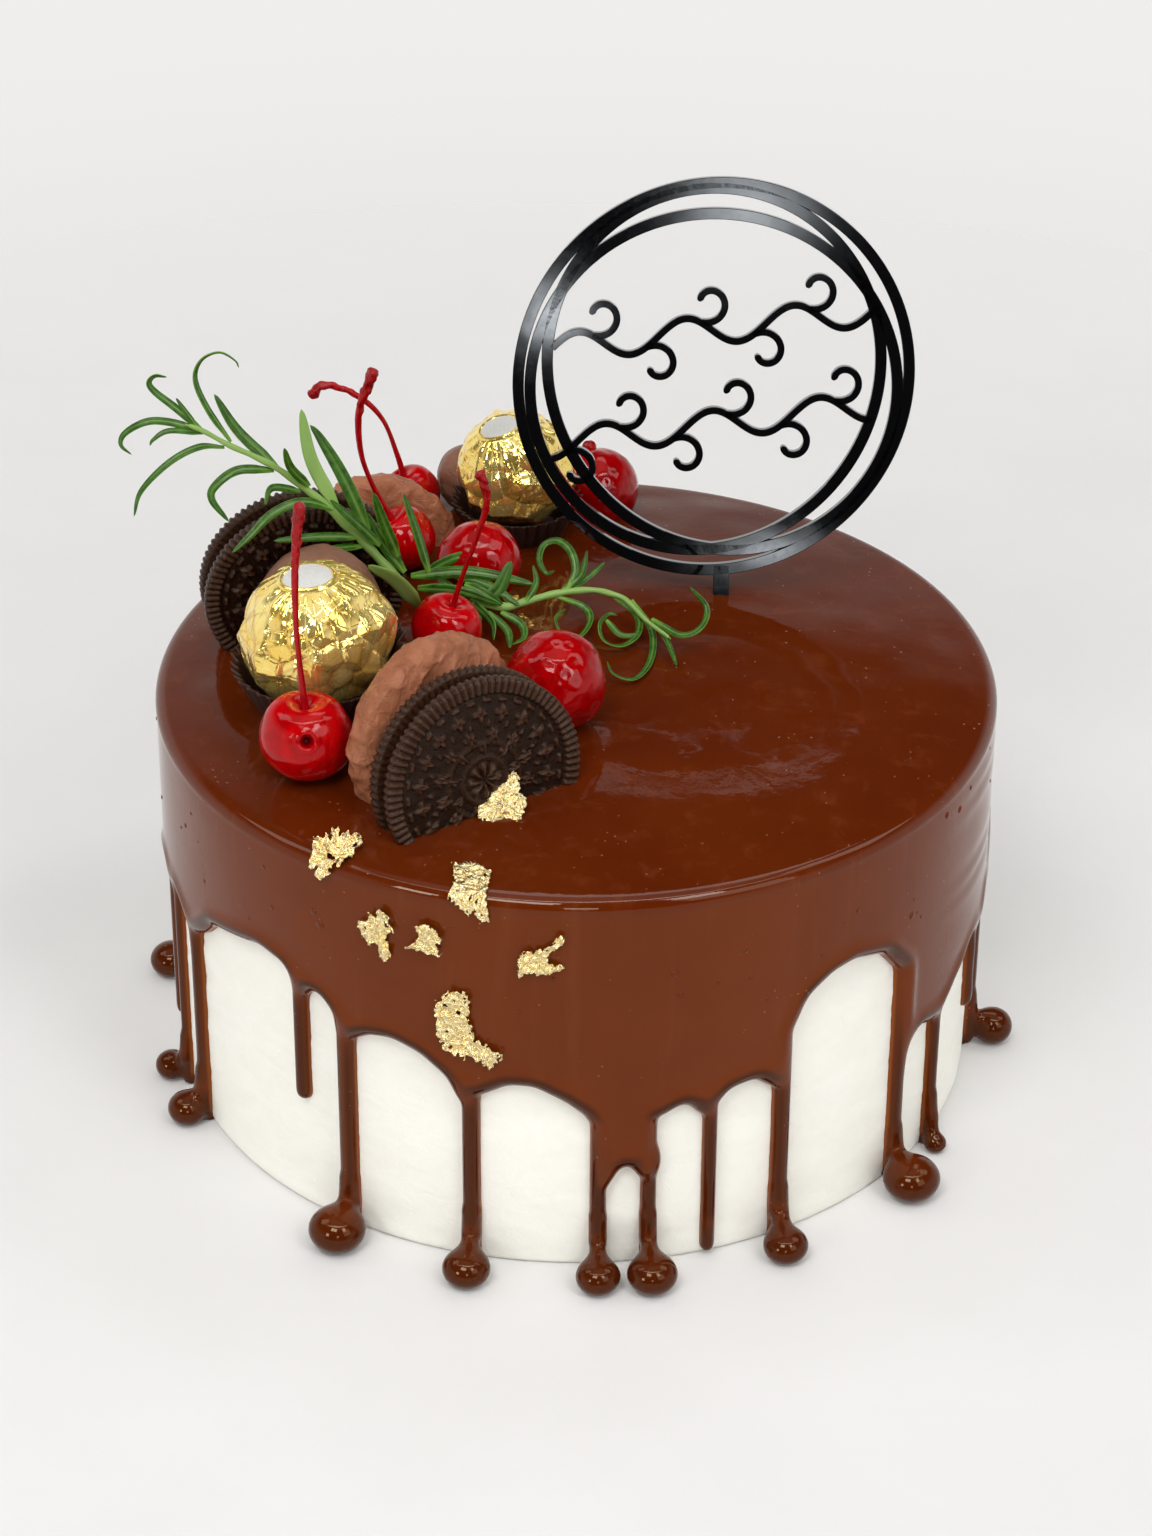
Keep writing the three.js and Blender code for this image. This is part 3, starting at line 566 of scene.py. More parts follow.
def wall_distance(s, z):
    """Distance from the hem, above 0 inside the glaze, on a grid of s and z."""
    line = hem_line()
    reach = 9.0
    a, b = line[:-1], line[1:]
    a = np.vstack([a - [S_ALL, 0], a, a + [S_ALL, 0]])
    b = np.vstack([b - [S_ALL, 0], b, b + [S_ALL, 0]])
    lo, hi = np.minimum(a[:, 0], b[:, 0]), np.maximum(a[:, 0], b[:, 0])
    out = np.zeros((len(s), len(z)))
    for j, sj in enumerate(s):
        pick = (lo < sj + reach) & (hi > sj - reach)
        p, q = a[pick], b[pick]
        d = q - p
        t = ((sj - p[:, 0]) * d[:, 0])[None] + (z[:, None] - p[None, :, 1]) * d[None, :, 1]
        t = np.clip(t / np.maximum((d**2).sum(1), 1e-9)[None], 0, 1)
        dist = np.sqrt(((sj - p[:, 0] - t * d[:, 0]) ** 2 + (z[:, None] - p[:, 1] - t * d[:, 1]) ** 2).min(1))
        across = (lo <= sj) & (hi > sj) & (hi - lo > 1e-9)
        k = np.nonzero(across)[0][0]
        f = (sj - a[k, 0]) / (b[k, 0] - a[k, 0])
        edge = a[k, 1] + (b[k, 1] - a[k, 1]) * f
        out[j] = np.minimum(dist, 8.0) * np.where(z > edge, 1, -1)
    return out


def blur(g, sigma):
    n = int(3 * sigma) + 1
    w = np.exp(-0.5 * (np.arange(-n, n + 1) / sigma) ** 2)
    w /= w.sum()
    g = sum(wi * np.roll(g, k - n, axis=0) for k, wi in enumerate(w))
    p = np.pad(g, ((0, 0), (n, n)), mode="edge")
    return sum(wi * p[:, k : k + g.shape[1]] for k, wi in enumerate(w))


def surface(field):
    """Quads on the zero level of a field that wraps along its first axis. Below 0 is inside."""
    g = np.concatenate([field, field[:1]], 0)
    inside = g < 0
    n0, n1, n2 = field.shape
    shape = (n0, n1 - 1, n2 - 1)
    total = np.zeros((*shape, 3))
    count = np.zeros(shape, np.int16)
    i0, i1, i2 = slice(0, n0), slice(0, n1 - 1), slice(0, n2 - 1)

    def cross(lo, hi, slo, shi):
        t = np.where(slo != shi, lo / np.where(slo != shi, lo - hi, 1.0), 0.0)
        return t, slo != shi

    for axis in range(3):
        others = [k for k in range(3) if k != axis]
        for p in (0, 1):
            for q in (0, 1):
                off = [0, 0, 0]
                off[others[0]], off[others[1]] = p, q
                lo = tuple(slice(o, o + n) for o, n in zip(off, shape))
                end = list(off)
                end[axis] += 1
                hi = tuple(slice(o, o + n) for o, n in zip(end, shape))
                t, hit = cross(g[lo], g[hi], inside[lo], inside[hi])
                at = np.zeros((*shape, 3), np.float32)
                at[..., axis] = t
                at[..., others[0]] = p
                at[..., others[1]] = q
                total += at * hit[..., None]
                count += hit
    used = count > 0
    index = np.full(shape, -1, np.int64)
    index[used] = np.arange(used.sum())
    cell = np.stack(np.nonzero(used), 1)
    verts = cell + total[used] / count[used][:, None]
    quads = []
    s = inside
    d0 = s[:-1] != s[1:]
    i, j, k = np.nonzero(d0[:, 1:-1, 1:-1])
    j, k = j + 1, k + 1
    quads.append((np.stack([index[i, j - 1, k - 1], index[i, j, k - 1], index[i, j, k], index[i, j - 1, k]], 1), s[i, j, k]))
    d1 = s[:n0, :-1] != s[:n0, 1:]
    i, j, k = np.nonzero(d1[:, :, 1:-1])
    k = k + 1
    h = (i - 1) % n0
    quads.append((np.stack([index[h, j, k - 1], index[h, j, k], index[i, j, k], index[i, j, k - 1]], 1), s[i, j, k]))
    d2 = s[:n0, :, :-1] != s[:n0, :, 1:]
    i, j, k = np.nonzero(d2[:, 1:-1, :])
    j = j + 1
    h = (i - 1) % n0
    quads.append((np.stack([index[h, j - 1, k], index[i, j - 1, k], index[i, j, k], index[h, j, k]], 1), s[i, j, k]))
    faces = np.vstack([np.where(side[:, None], q, q[:, ::-1]) for q, side in quads])
    return verts, faces[(faces >= 0).all(1)]


def relaxed(v, quads, passes, amount, fixed):
    e = np.concatenate([quads[:, [0, 1]], quads[:, [1, 2]], quads[:, [2, 3]], quads[:, [3, 0]]])
    e = np.concatenate([e, e[:, ::-1]])
    deg = np.maximum(np.bincount(e[:, 0], minlength=len(v)), 1)[:, None]
    for k in range(passes):
        m = np.stack([np.bincount(e[:, 0], v[e[:, 1], c], minlength=len(v)) for c in range(3)], 1) / deg
        d = (m - v) * (amount if k % 2 == 0 else -amount * 0.9)
        d[fixed] = 0
        v = v + d
    return v


def round_wall(s, z, n):
    a = s / GLAZE_R - math.pi
    r = CREAM_R + n
    return np.stack([r * np.cos(a), r * np.sin(a), z], -1)


def thickness(dist, azimuth, z):
    bead = 0.55 * np.exp(-(((dist - 3.2) / 1.5) ** 2))
    return 2.55 + bead + swell(azimuth, z)


def glaze():
    count = 1040
    h = S_ALL / count
    s = np.arange(count) * h
    z = -2 * h + h * np.arange(142)
    n = -0.9 + h * np.arange(30)
    dist = blur(wall_distance(s, z), 1.5)
    az = s / GLAZE_R / RAD - 180
    thick = thickness(blur(dist, 3.5), az[:, None], z[None])
    side = np.maximum(thick - dist, 0)
    field = np.sqrt(side[:, :, None] ** 2 + np.maximum(n, 0)[None, None] ** 2) - thick[:, :, None]
    # the drops, their necks and one heavy lobe, melted together with the wall
    balls = [(a, w, b, r, q, c) for a, w, b, r, q, c in DROPS]
    for a, w, b, r, q, c in balls:
        sc, sd = (b * RAD + math.pi) * GLAZE_R, (a * RAD + math.pi) * GLAZE_R
        nc, zc = r - CREAM_R, 0.86 * c
        cols = np.arange(int((min(sc, sd) - 13) / h), int((max(sc, sd) + 13) / h))
        rows = np.nonzero(z < 17)[0]
        ss = (cols * h)[:, None, None]
        zz = z[rows][None, :, None]
        nn = n[None, None]
        k = r / GLAZE_R
        e = np.sqrt(((ss - sc) * k / q) ** 2 + ((zz - zc) / c) ** 2 + ((nn - nc) / q) ** 2)
        drop = (e - 1) * c
        p0 = np.array([sd, 12.5, 0.7])
        p1 = np.array([sc, zc + 0.25 * c, nc - 0.3 * q])
        p2 = np.array([sd, 7.0, 1.5])
        neck = None
        for f, g, r0, r1 in ((p0, p2, 0.4 * w, 0.46 * w), (p2, p1, 0.46 * w, 0.52 * q)):
            d = g - f
            t = np.clip(((ss - f[0]) * d[0] + (zz - f[1]) * d[1] + (nn - f[2]) * d[2]) / (d @ d), 0, 1)
            ln = np.sqrt((ss - f[0] - t * d[0]) ** 2 + (zz - f[1] - t * d[1]) ** 2 + (nn - f[2] - t * d[2]) ** 2) - (r0 + (r1 - r0) * t * t)
            neck = ln if neck is None else np.minimum(neck, ln)
        both = soft_min(drop, neck, 1.5)
        idx = np.ix_(cols % count, rows)
        field[idx] = soft_min(field[idx], both, 1.6)
    for a, zc, hs, hz, hn in ((-80.15, 27.0, 3.0, 4.6, 3.3),):
        sc = (a * RAD + math.pi) * GLAZE_R
        cols = np.arange(int((sc - 8) / h), int((sc + 8) / h))
        e = np.sqrt((((cols * h)[:, None, None] - sc) / hs) ** 2 + ((z[None, :, None] - zc) / hz) ** 2 + (n[None, None] / hn) ** 2)
        idx = cols % count
        field[idx] = soft_min(field[idx], (e - 1) * 3.0, 1.0)
    field = np.maximum(field, -z[None, :, None] - 0.01)
    v, faces = surface(field)
    si, zi = np.clip(v[:, 0], 0, count - 1e-6), v[:, 1]
    i0, j0 = np.floor(v[:, 0]).astype(int) % count, np.clip(np.floor(zi).astype(int), 0, len(z) - 2)
    fi, fj = v[:, 0] % 1, v[:, 1] - j0
    d = (
        dist[i0, j0] * (1 - fi) * (1 - fj) + dist[(i0 + 1) % count, j0] * fi * (1 - fj)
        + dist[i0, j0 + 1] * (1 - fi) * fj + dist[(i0 + 1) % count, j0 + 1] * fi * fj
    )  # fmt: skip
    zz, nn = z[0] + v[:, 1] * h, n[0] + v[:, 2] * h
    p = round_wall(v[:, 0] * h, np.maximum(zz, 0), nn)
    p = relaxed(p, faces, 6, 0.45, (zz > z[-1] - 1.2) | (zz < 0.5) | (nn < -0.5))
    keep = (nn > -0.7)[faces].all(1)
    faces = faces[keep]
    shape = Shape()
    wide = blur(dist, 9.0)
    drip = 1 - step(-1.5, 1.2, wide[i0, np.clip(np.round(v[:, 1]).astype(int), 0, len(z) - 1)])
    thin = (1 - step(0.2, 1.1, nn)) * (1 - step(0.2, 1.2, np.abs(d))) * step(1.0, 4.0, zz)
    steep = np.gradient(blur(dist, 2.5), h, axis=1)[i0, np.clip(np.round(v[:, 1]).astype(int), 0, len(z) - 1)]
    band = np.exp(-((np.maximum(np.abs(d - 2.3) - 0.7, 0) / 0.8) ** 2)) * (1 - step(62, 72, zz)) * step(0.25, 0.8, steep)
    foot = 1 - step(7.0, 12.0, zz)
    # painted shade on the drips, their sides, the band above the arches and the drops, read by the glaze material
    low = drip * (0.45 + 0.45 * np.exp(-(((d - 1.0) / 0.5) ** 2))) + (1 - drip) * 0.95 * band
    low = np.maximum(low * (1 - foot), 0.55 * foot)
    # painted highlight down the middle of each drip
    core = drip * step(1.3, 1.75, d) * (1 - foot)
    shape.add(p, faces, thin=thin, low=np.clip(low, 0, 1), core=core)
    # small bubbles under the skin of the wall
    rng = np.random.default_rng(77)
    cap = ball_grid(16, 10)
    spots = [(-125.6, 79.0, 0.8), (-124.6, 76.5, 1.0), (-77.2, 74.2, 0.8), (-76.4, 68.8, 0.7), (-97, 66, 0.5), (-32.3, 87.0, 0.75), (-28.3, 85.0, 0.85)]
    spots += [(-50.6, 77.5, 0.6), (-39.8, 68.4, 0.85), (-67.7, 76.9, 0.6), (-64.4, 63.4, 0.55), (-41.9, 63.2, 0.6), (-56.2, 70.1, 0.55), (-37.6, 66.3, 0.45)]
    spots += [(rng.uniform(-180, 180), rng.uniform(68, 88), rng.uniform(0.3, 0.6)) for _ in range(46)]
    for az, q, r in spots:
        at = np.array([math.cos(az * RAD), math.sin(az * RAD), 0])
        base = at * (GLAZE_R + float(swell(az, q)) - 0.1) + [0, 0, q]
        ball = cap * r
        ball = ball - (ball @ at)[..., None] * at * 0.5
        shape.add(base + ball, grid(16, 10, wrap_u=True), thin=0.0, low=0.15, core=0.0)
    # upper wall, rounded rim and domed top
    cols = 540
    az = np.arange(cols) / cols * 360 - 180
    up = np.arange(z[-1] - 0.9, RIM_Z, 1.0)
    prof = [(GLAZE_R - 0.04, q, 1.0) for q in up]
    slope = math.atan(2 * DOME_DROP * RIM_IN / DOME_AT**2)
    for t in np.linspace(0, math.pi / 2 - slope, 11):
        prof.append((RIM_IN + FILLET * math.cos(t), RIM_Z + FILLET * math.sin(t), 1.0))
    r_top = np.r_[np.linspace(RIM_IN - 0.6, 80, 9), np.linspace(78.5, 3, 52), 0.2]
    last_r, last_z = prof[-1][0], prof[-1][1]
    for r in r_top:
        drop = last_z - float(dome(last_r))
        prof.append((r, float(dome(r)) + drop * max(0, (r - 70) / (last_r - 70)), 0.0))
    prof = np.array(prof)
    rr, zz = prof[:, 0][None], prof[:, 1][None]
    a = (az * RAD)[:, None]
    out = np.where(prof[:, 2][None] > 0, swell(az[:, None], np.minimum(zz, 90)) * (1 - step(84, 93, zz)), 0)
    x, y = (rr + out) * np.cos(a), (rr + out) * np.sin(a)
    q = np.stack([x, y, np.broadcast_to(zz, x.shape)], -1)
    flat = np.stack([x, y, 0 * x], -1)
    q[..., 2] += (0.1 * lumps(flat, 5, 46) + 0.05 * lumps(flat, 6, 21)) * (1 - step(80, 88, rr)) + 0.09 * lumps(flat, 7, 55) * step(78, 84, rr) * step(RIM_Z - 1, RIM_Z + 2, zz)
    # glaze drawn up a little round what stands in it
    for cx, cy, cr in ((-4.2, -29.4, 4.6), (-55.4, -46.2, 4.6), (-4.2, -29.4, 4.6)):
        dd = np.hypot(x - cx, y - cy) - cr
        q[..., 2] += 0.25 * np.exp(-np.abs(dd) / 1.6) * (rr < 84)
    shape.add(q, grid(cols, len(prof), wrap_u=True), thin=0.0, low=0.0)
    return shape.piece("glaze_coat", "glaze", [GLAZE], ["chocolate_glaze"])


def soft_min(a, b, k):
    h = np.clip(0.5 + 0.5 * (b - a) / k, 0, 1)
    return b + (a - b) * h - k * h * (1 - h)


glaze()


# ---- cream cake ------------------------------------------------------------------------------
def cream():
    cols = 480
    a = np.arange(cols) / cols * 2 * math.pi
    prof = [(0.2, 0.0), (60, 0.0), (84, 0.0), (87.2, 0.0), (88.0, 0.35), (88.3, 1.1)]
    prof += [(CREAM_R, q) for q in np.arange(2.4, 87, 1.5)]
    prof += [(CREAM_R, 87.0), (86.8, 89.6), (84, 90.4), (40, 94.0), (0.2, 95.0)]
    prof = np.array(prof)
    r, z = prof[:, 0][None], prof[:, 1][None]
    x, y = r * np.cos(a)[:, None], r * np.sin(a)[:, None]
    p = np.stack([x, y, np.broadcast_to(z, x.shape)], -1)
    wavy = 0.10 * lumps(p * [1, 1, 2.2], 21, 22) + 0.06 * lumps(p * [1, 1, 3.5], 22, 9) - 0.12
    on_wall = ((z > 0.5) & (z < 87)).astype(float)
    p[..., :2] *= (1 + wavy * on_wall / CREAM_R)[..., None]
    return Shape().add(p, grid(cols, len(prof), wrap_u=True)).piece("cream_wall", "cream", [CREAM], ["cake_body"])


cream()

# ---- topper ----------------------------------------------------------------------------------
LEAN = 16.5 * RAD
T_UP = np.array([0, math.sin(LEAN), math.cos(LEAN)])
T_X = np.array([1.0, 0, 0])
T_N = np.cross(T_X, T_UP)
T_MID = np.array([29.9, 28, float(dome(math.hypot(32, 28)))]) + T_UP * 49
T_THICK = 2.4


def strip(shape, pts, width, closed=False, taper=True):
    """A flat band with slightly broken edges along a line drawn in the topper's plane."""
    p = np.asarray(pts, float)
    if closed:
        d = np.roll(p, -1, 0) - np.roll(p, 1, 0)
    else:
        d = np.gradient(p, axis=0)
    d = d / np.linalg.norm(d, axis=1, keepdims=True)
    nrm = np.stack([-d[:, 1], d[:, 0]], 1)
    w = np.full(len(p), width / 2)
    if not closed and taper:
        run = np.r_[0, np.cumsum(np.linalg.norm(np.diff(p, axis=0), axis=1))]
        e = np.minimum(run, run[-1] - run)
        w = width / 2 * np.sqrt(np.clip(1 - (1 - np.minimum(e / (width / 2), 1)) ** 2, 0.02, 1))
    c, h = 0.14, T_THICK / 2
    ring = [(1, -(h - c), 0), (1, h - c, 0), (1, h, c), (-1, h, c), (-1, h - c, 0), (-1, -(h - c), 0), (-1, -h, c), (1, -h, c)]
    rows = []
    for side, depth, inset in ring:
        q = p + nrm * (side * np.maximum(w - inset, 0.02))[:, None]
        rows.append(T_MID + q[:, :1] * T_X + q[:, 1:] * T_UP + T_N * depth)
    v = np.stack(rows, 1)
    # each long side has its own vertices, so that its edges stay crisp
    n = len(p)
    for k in range(8):
        two = np.stack([v[:, k], v[:, (k + 1) % 8]], 1)
        f = grid(n, 2, wrap_u=closed)
        shape.add(two, f)
    if not closed:
        for end in (0, n - 1):
            shape.add(v[end], np.array([[0, 1, 2, 3], [0, 3, 4, 7], [4, 5, 6, 7]]))


def topper():
    shape = Shape()

    def polar(r, a, dx=0.0, dy=0.0):
        return np.stack([r * np.cos(a) + dx, 1.005 * r * np.sin(a) + dy - 1.1], 1)

    t = np.arange(300) / 300
    strip(shape, polar(42.6 + 0.75 * np.cos(4 * math.pi * t - 1.4), 2 * math.pi * t, -0.25, 0.3), 2.5, True)
    t = np.arange(560) / 560
    a = 4 * math.pi * t + 30 * RAD
    strip(shape, polar(38.2 + 2.75 * np.sin(6 * math.pi * t) + 0.75 * np.sin(a), a, -0.2), 2.5, True)
    for y0, phase, x0, x1 in ((10, -36, -35.6, 35.6), (-11, -30, -35.4, 34.6)):

        def wave(x, y0=y0, phase=phase):
            return y0 + 0.13 * x + 3.2 * np.sin(2 * math.pi * (x - phase) / 23.5)

        x = np.linspace(x0, x1, 150)
        strip(shape, np.stack([x, wave(x)], 1), 1.6, taper=False)
        for k in range(0, 12):
            c = phase + 23.5 * (0.5 * k - 0.12)
            if c > x1 - 8 or c < x0 + 2:
                continue
            turn = 1 if k % 2 else -1
            heading = math.atan2(wave(c + 0.01) - wave(c - 0.01), 0.02)
            start = heading - turn * math.pi / 2
            mid = (c - 4.6 * math.cos(start), wave(c) - 4.6 * math.sin(start))
            u = np.linspace(0, 1, 60)
            r, ang = 4.6 * (1 - 0.6 * u), start + turn * 1.6 * math.pi * u
            strip(shape, np.stack([mid[0] + r * np.cos(ang), mid[1] + r * np.sin(ang)], 1), 1.54)
    strip(shape, np.stack([np.full(8, 2.1), np.linspace(-42.5, -50.5, 8)], 1), 3.5, taper=False)
    return shape.piece("hoop_topper", "black_acrylic", [ACRYLIC], ["topper"])


topper()


# ---- sandwich cookies ------------------------------------------------------------------------
def disc_axes(facing, lean):
    f, l = facing * RAD, lean * RAD
    n = np.array([math.sin(f) * math.cos(l), -math.cos(f) * math.cos(l), math.sin(l)])
    a = np.array([math.cos(f), math.sin(f), 0.0])
    return a, unit(np.cross(n, a)), n


def motif(r, phi, count, ring, size, lobes, turn=0.0):
    """Raised flowers in a ring: 1 on a flower and 0 off it."""
    step_a = 2 * math.pi / count
    q = (phi + turn) % step_a - step_a / 2
    u, v = r * np.sin(q), r * np.cos(q) - ring
    rho, ang = np.hypot(u, v), np.arctan2(v, u)
    edge = size * (0.72 + 0.28 * np.cos(lobes * ang))
    body = 1 - step(edge - 0.28, edge + 0.1, rho)
    return body * (1 - 0.75 * (1 - step(0.14, 0.42, rho)))


def wafer(name, node, at, a, b, n, seed):
    cols, ribs = 504, 84
    phi = np.arange(cols) / cols * 2 * math.pi
    r = np.r_[np.linspace(0.15, 16.6, 34), np.linspace(16.95, 19.4, 9), np.linspace(19.7, 21.4, 5), 21.75, 22.0, 22.15]
    rr, pp = np.meshgrid(r, phi)
    groove = (0.5 - 0.5 * np.cos(ribs * pp)) ** 1.6
    field = 0.0 * rr
    field = np.maximum(field, motif(rr, pp, 18, 14.6, 1.75, 4))
    field = np.maximum(field, motif(rr, pp, 18, 12.2, 0.7, 1, math.pi / 18))
    field = np.maximum(field, motif(rr, pp, 12, 10.0, 1.6, 5))
    field = np.maximum(field, motif(rr, pp, 9, 6.9, 1.0, 3, 0.2))
    field = np.maximum(field, 0.9 * np.exp(-(((rr - 8.3) / 0.26) ** 2)))
    field = np.maximum(field, 0.9 * np.exp(-(((rr - 4.9) / 0.26) ** 2)))
    field = np.maximum(field, (rr < 4.2) * (0.5 + 0.5 * np.cos(8 * pp)) * step(0.5, 1.4, rr) * (1 - step(3.2, 4.1, rr)))
    dashes = step(-0.2, 0.25, np.cos(30 * pp)) * np.exp(-(((rr - 17.5) / 0.42) ** 4))
    rim = step(18.5, 19.1, rr)
    hgt = -1.05 + 0.9 * field * (rr < 16.8) + 0.65 * dashes
    hgt = hgt * (1 - rim) + rim * (0.0 - 0.6 * groove)
    hgt = hgt - 0.12 * np.exp(-(((rr - 18.6) / 0.3) ** 2))
    hgt = hgt - 0.55 * np.clip((rr - 21.2) / 1.0, 0, 1) ** 2
    pos = np.stack([rr * np.cos(pp), rr * np.sin(pp), hgt], -1)
    hgt = hgt + 0.05 * lumps(pos, seed, 3.5) * (1 - 0.5 * rim) + 0.04 * lumps(pos, seed + 1, 11)
    radius = rr - 0.42 * groove * np.clip((rr - 21.3) / 0.85, 0, 1)
    # relief is 1 on raised parts; the material darkens the rest as painted shade
    relief = np.clip(0.8 * field * (rr < 16.8) + 0.7 * dashes + rim * (1 - groove) * 0.8, 0, 1)
    # side and inner face
    side_r = np.array([22.2, 22.2, 22.15, 21.9, 21.2, 10.0, 0.15])
    side_h = np.array([-0.9, -1.8, -2.6, -2.95, -3.1, -3.1, -3.1])
    g2 = groove[:, :1]
    sr = side_r[None] - 0.42 * g2 * (side_r[None] > 21.5)
    sr = sr + 0.06 * np.sin(5 * phi + seed)[:, None] * (side_r[None] > 20)
    allr = np.concatenate([radius, sr], 1)
    allh = np.concatenate([hgt, np.broadcast_to(side_h[None], sr.shape)], 1)
    rel = np.concatenate([relief, np.broadcast_to((1 - g2) * 0.7, sr.shape)], 1)
    local = np.stack([allr * np.cos(phi)[:, None], allr * np.sin(phi)[:, None], allh], -1)
    p = at + local[..., :1] * a + local[..., 1:2] * b + local[..., 2:] * n
    nv = allr.shape[1]
    return Shape().add(p, grid(cols, nv, wrap_u=True), relief=rel).piece(name, "cocoa_wafer", [WAFER], [node])


def filling(name, node, at, a, b, n, seed):
    cols = 220
    phi = np.arange(cols) / cols * 2 * math.pi
    prof = np.array([(0.15, 0.15), (14, 0.15), (18.6, 0.1), (19.6, -0.05), (20.0, -0.5), (20.1, -1.3), (20.0, -2.1), (19.6, -2.55), (18.6, -2.7), (0.15, -2.75)])
    rr = np.broadcast_to(prof[:, 0][None], (cols, len(prof)))
    hh = np.broadcast_to(prof[:, 1][None], (cols, len(prof)))
    pos = np.stack([rr * np.cos(phi)[:, None], rr * np.sin(phi)[:, None], hh], -1)
    rr = rr + (0.3 * lumps(pos, seed, 5.5) + 0.14 * lumps(pos, seed + 1, 1.8) - 0.15) * (rr > 19)
    local = np.stack([rr * np.cos(phi)[:, None], rr * np.sin(phi)[:, None], hh], -1)
    p = at + local[..., :1] * a + local[..., 1:2] * b + local[..., 2:] * n
    return Shape().add(p, grid(cols, len(prof), wrap_u=True)).piece(name, "dark_filling", [FILLING], [node])


def cookie(prefix, at, facing, lean, seed):
    at = np.array(at, float)
    a, b, n = disc_axes(facing, lean)
    wafer(prefix + "_rim_side", prefix + "_wafer_front", at, a, b, n, seed)
    filling(prefix + "_cream", prefix + "_filling", at - n * 3.4, a, b, n, seed + 3)
    wafer(prefix + "_back_side", prefix + "_wafer_back", at - n * 9.4, a, -b, -n, seed + 5)


cookie("front_cookie", (-18, -61.4, 102.4), 30, 7, 31)
cookie("left_cookie", (-58.4, 7.6, 106.9), 14, -7.5, 41)


# ---- coated biscuits and truffles ------------------------------------------------------------
def biscuit(name, node, r, thick, at, facing, lean, seed):
    a, b, n = disc_axes(facing, lean)
    cols, rows = 260, 84
    phi = np.arange(cols) / cols * 2 * math.pi
    t = np.linspace(-math.pi / 2 + 0.01, math.pi / 2 - 0.01, rows)
    ct, st = np.cos(t), np.sin(t)
    rad = r * ct**0.42
    hgt = thick / 2 * np.sign(st) * np.abs(st) ** 0.72
    rr = np.broadcast_to(rad[None], (cols, rows))
    hh = np.broadcast_to(hgt[None], (cols, rows))
    pos = np.stack([rr * np.cos(phi)[:, None], rr * np.sin(phi)[:, None], hh], -1)
    wave = lumps(pos * [1, 1, 0.35], seed, 8.5)
    bulge = 0.55 * lumps(pos, seed + 1, 13) + 0.9 * (1 - np.abs(wave)) ** 3 + 0.4 * lumps(pos, seed + 2, 4.6)
    edge = (rr / r) ** 3
    rr = rr + (0.62 * bulge * edge - 0.55 * edge)
    faces_h = 0.5 * lumps(pos, seed + 3, 12) + 0.9 * (1 - np.abs(lumps(pos, seed + 4, 8.5))) ** 4
    hh = hh * (1 + 0.14 * faces_h) - 0.15 * np.sign(hh)
    local = np.stack([rr * np.cos(phi)[:, None], rr * np.sin(phi)[:, None], hh], -1)
    p = np.array(at, float) + local[..., :1] * a + local[..., 1:2] * b + local[..., 2:] * n
    return Shape().add(p, grid(cols, rows, wrap_u=True)).piece(name, "milk_coating", [COATING], [node])


biscuit("coated_biscuit_front_look", "coated_biscuit_front", 21.2, 10.5, (-29.9, -43.4, 104.4), 43, 0, 51)
biscuit("coated_biscuit_back_look", "coated_biscuit_back", 18.1, 8, (-45, 54.4, 94.4), 1, -1, 61)


def truffle(name, node, r, at, seed, wide=1.0):
    d = ball_grid(150, 90)
    out = 0.22 * lumps(d * r, seed, 13) + 0.1 * lumps(d * r, seed + 1, 5) - 0.15
    p = np.array(at) + d * [wide, 1, 1] * (r + out)[..., None]
    return Shape().add(p, grid(150, 90, wrap_u=True)).piece(name, "milk_coating", [TRUFFLE], [node])


truffle("truffle_front_look", "truffle_front", 15.3, (-54.6, -8.7, 111.1), 71, 0.9)
truffle("truffle_back_look", "truffle_back", 8.1, (-24.6, 74, 101.4), 73)


# ---- foil pralines and their cups ------------------------------------------------------------
def facets(d, seeds, size, spread, rng):
    """Radius factor of a many-sided body, its flats at seeded directions."""
    k = d.reshape(-1, 3) @ seeds.T
    dist = size * (1 + spread * rng.uniform(-1, 1, len(seeds)))
    q = np.where(k > 0.3, dist[None] / np.maximum(k, 0.3), 1e9)
    two = np.partition(q, 1, axis=1)[:, :2]
    return two[:, 0].reshape(d.shape[:-1]), (two[:, 1] - two[:, 0]).reshape(d.shape[:-1])


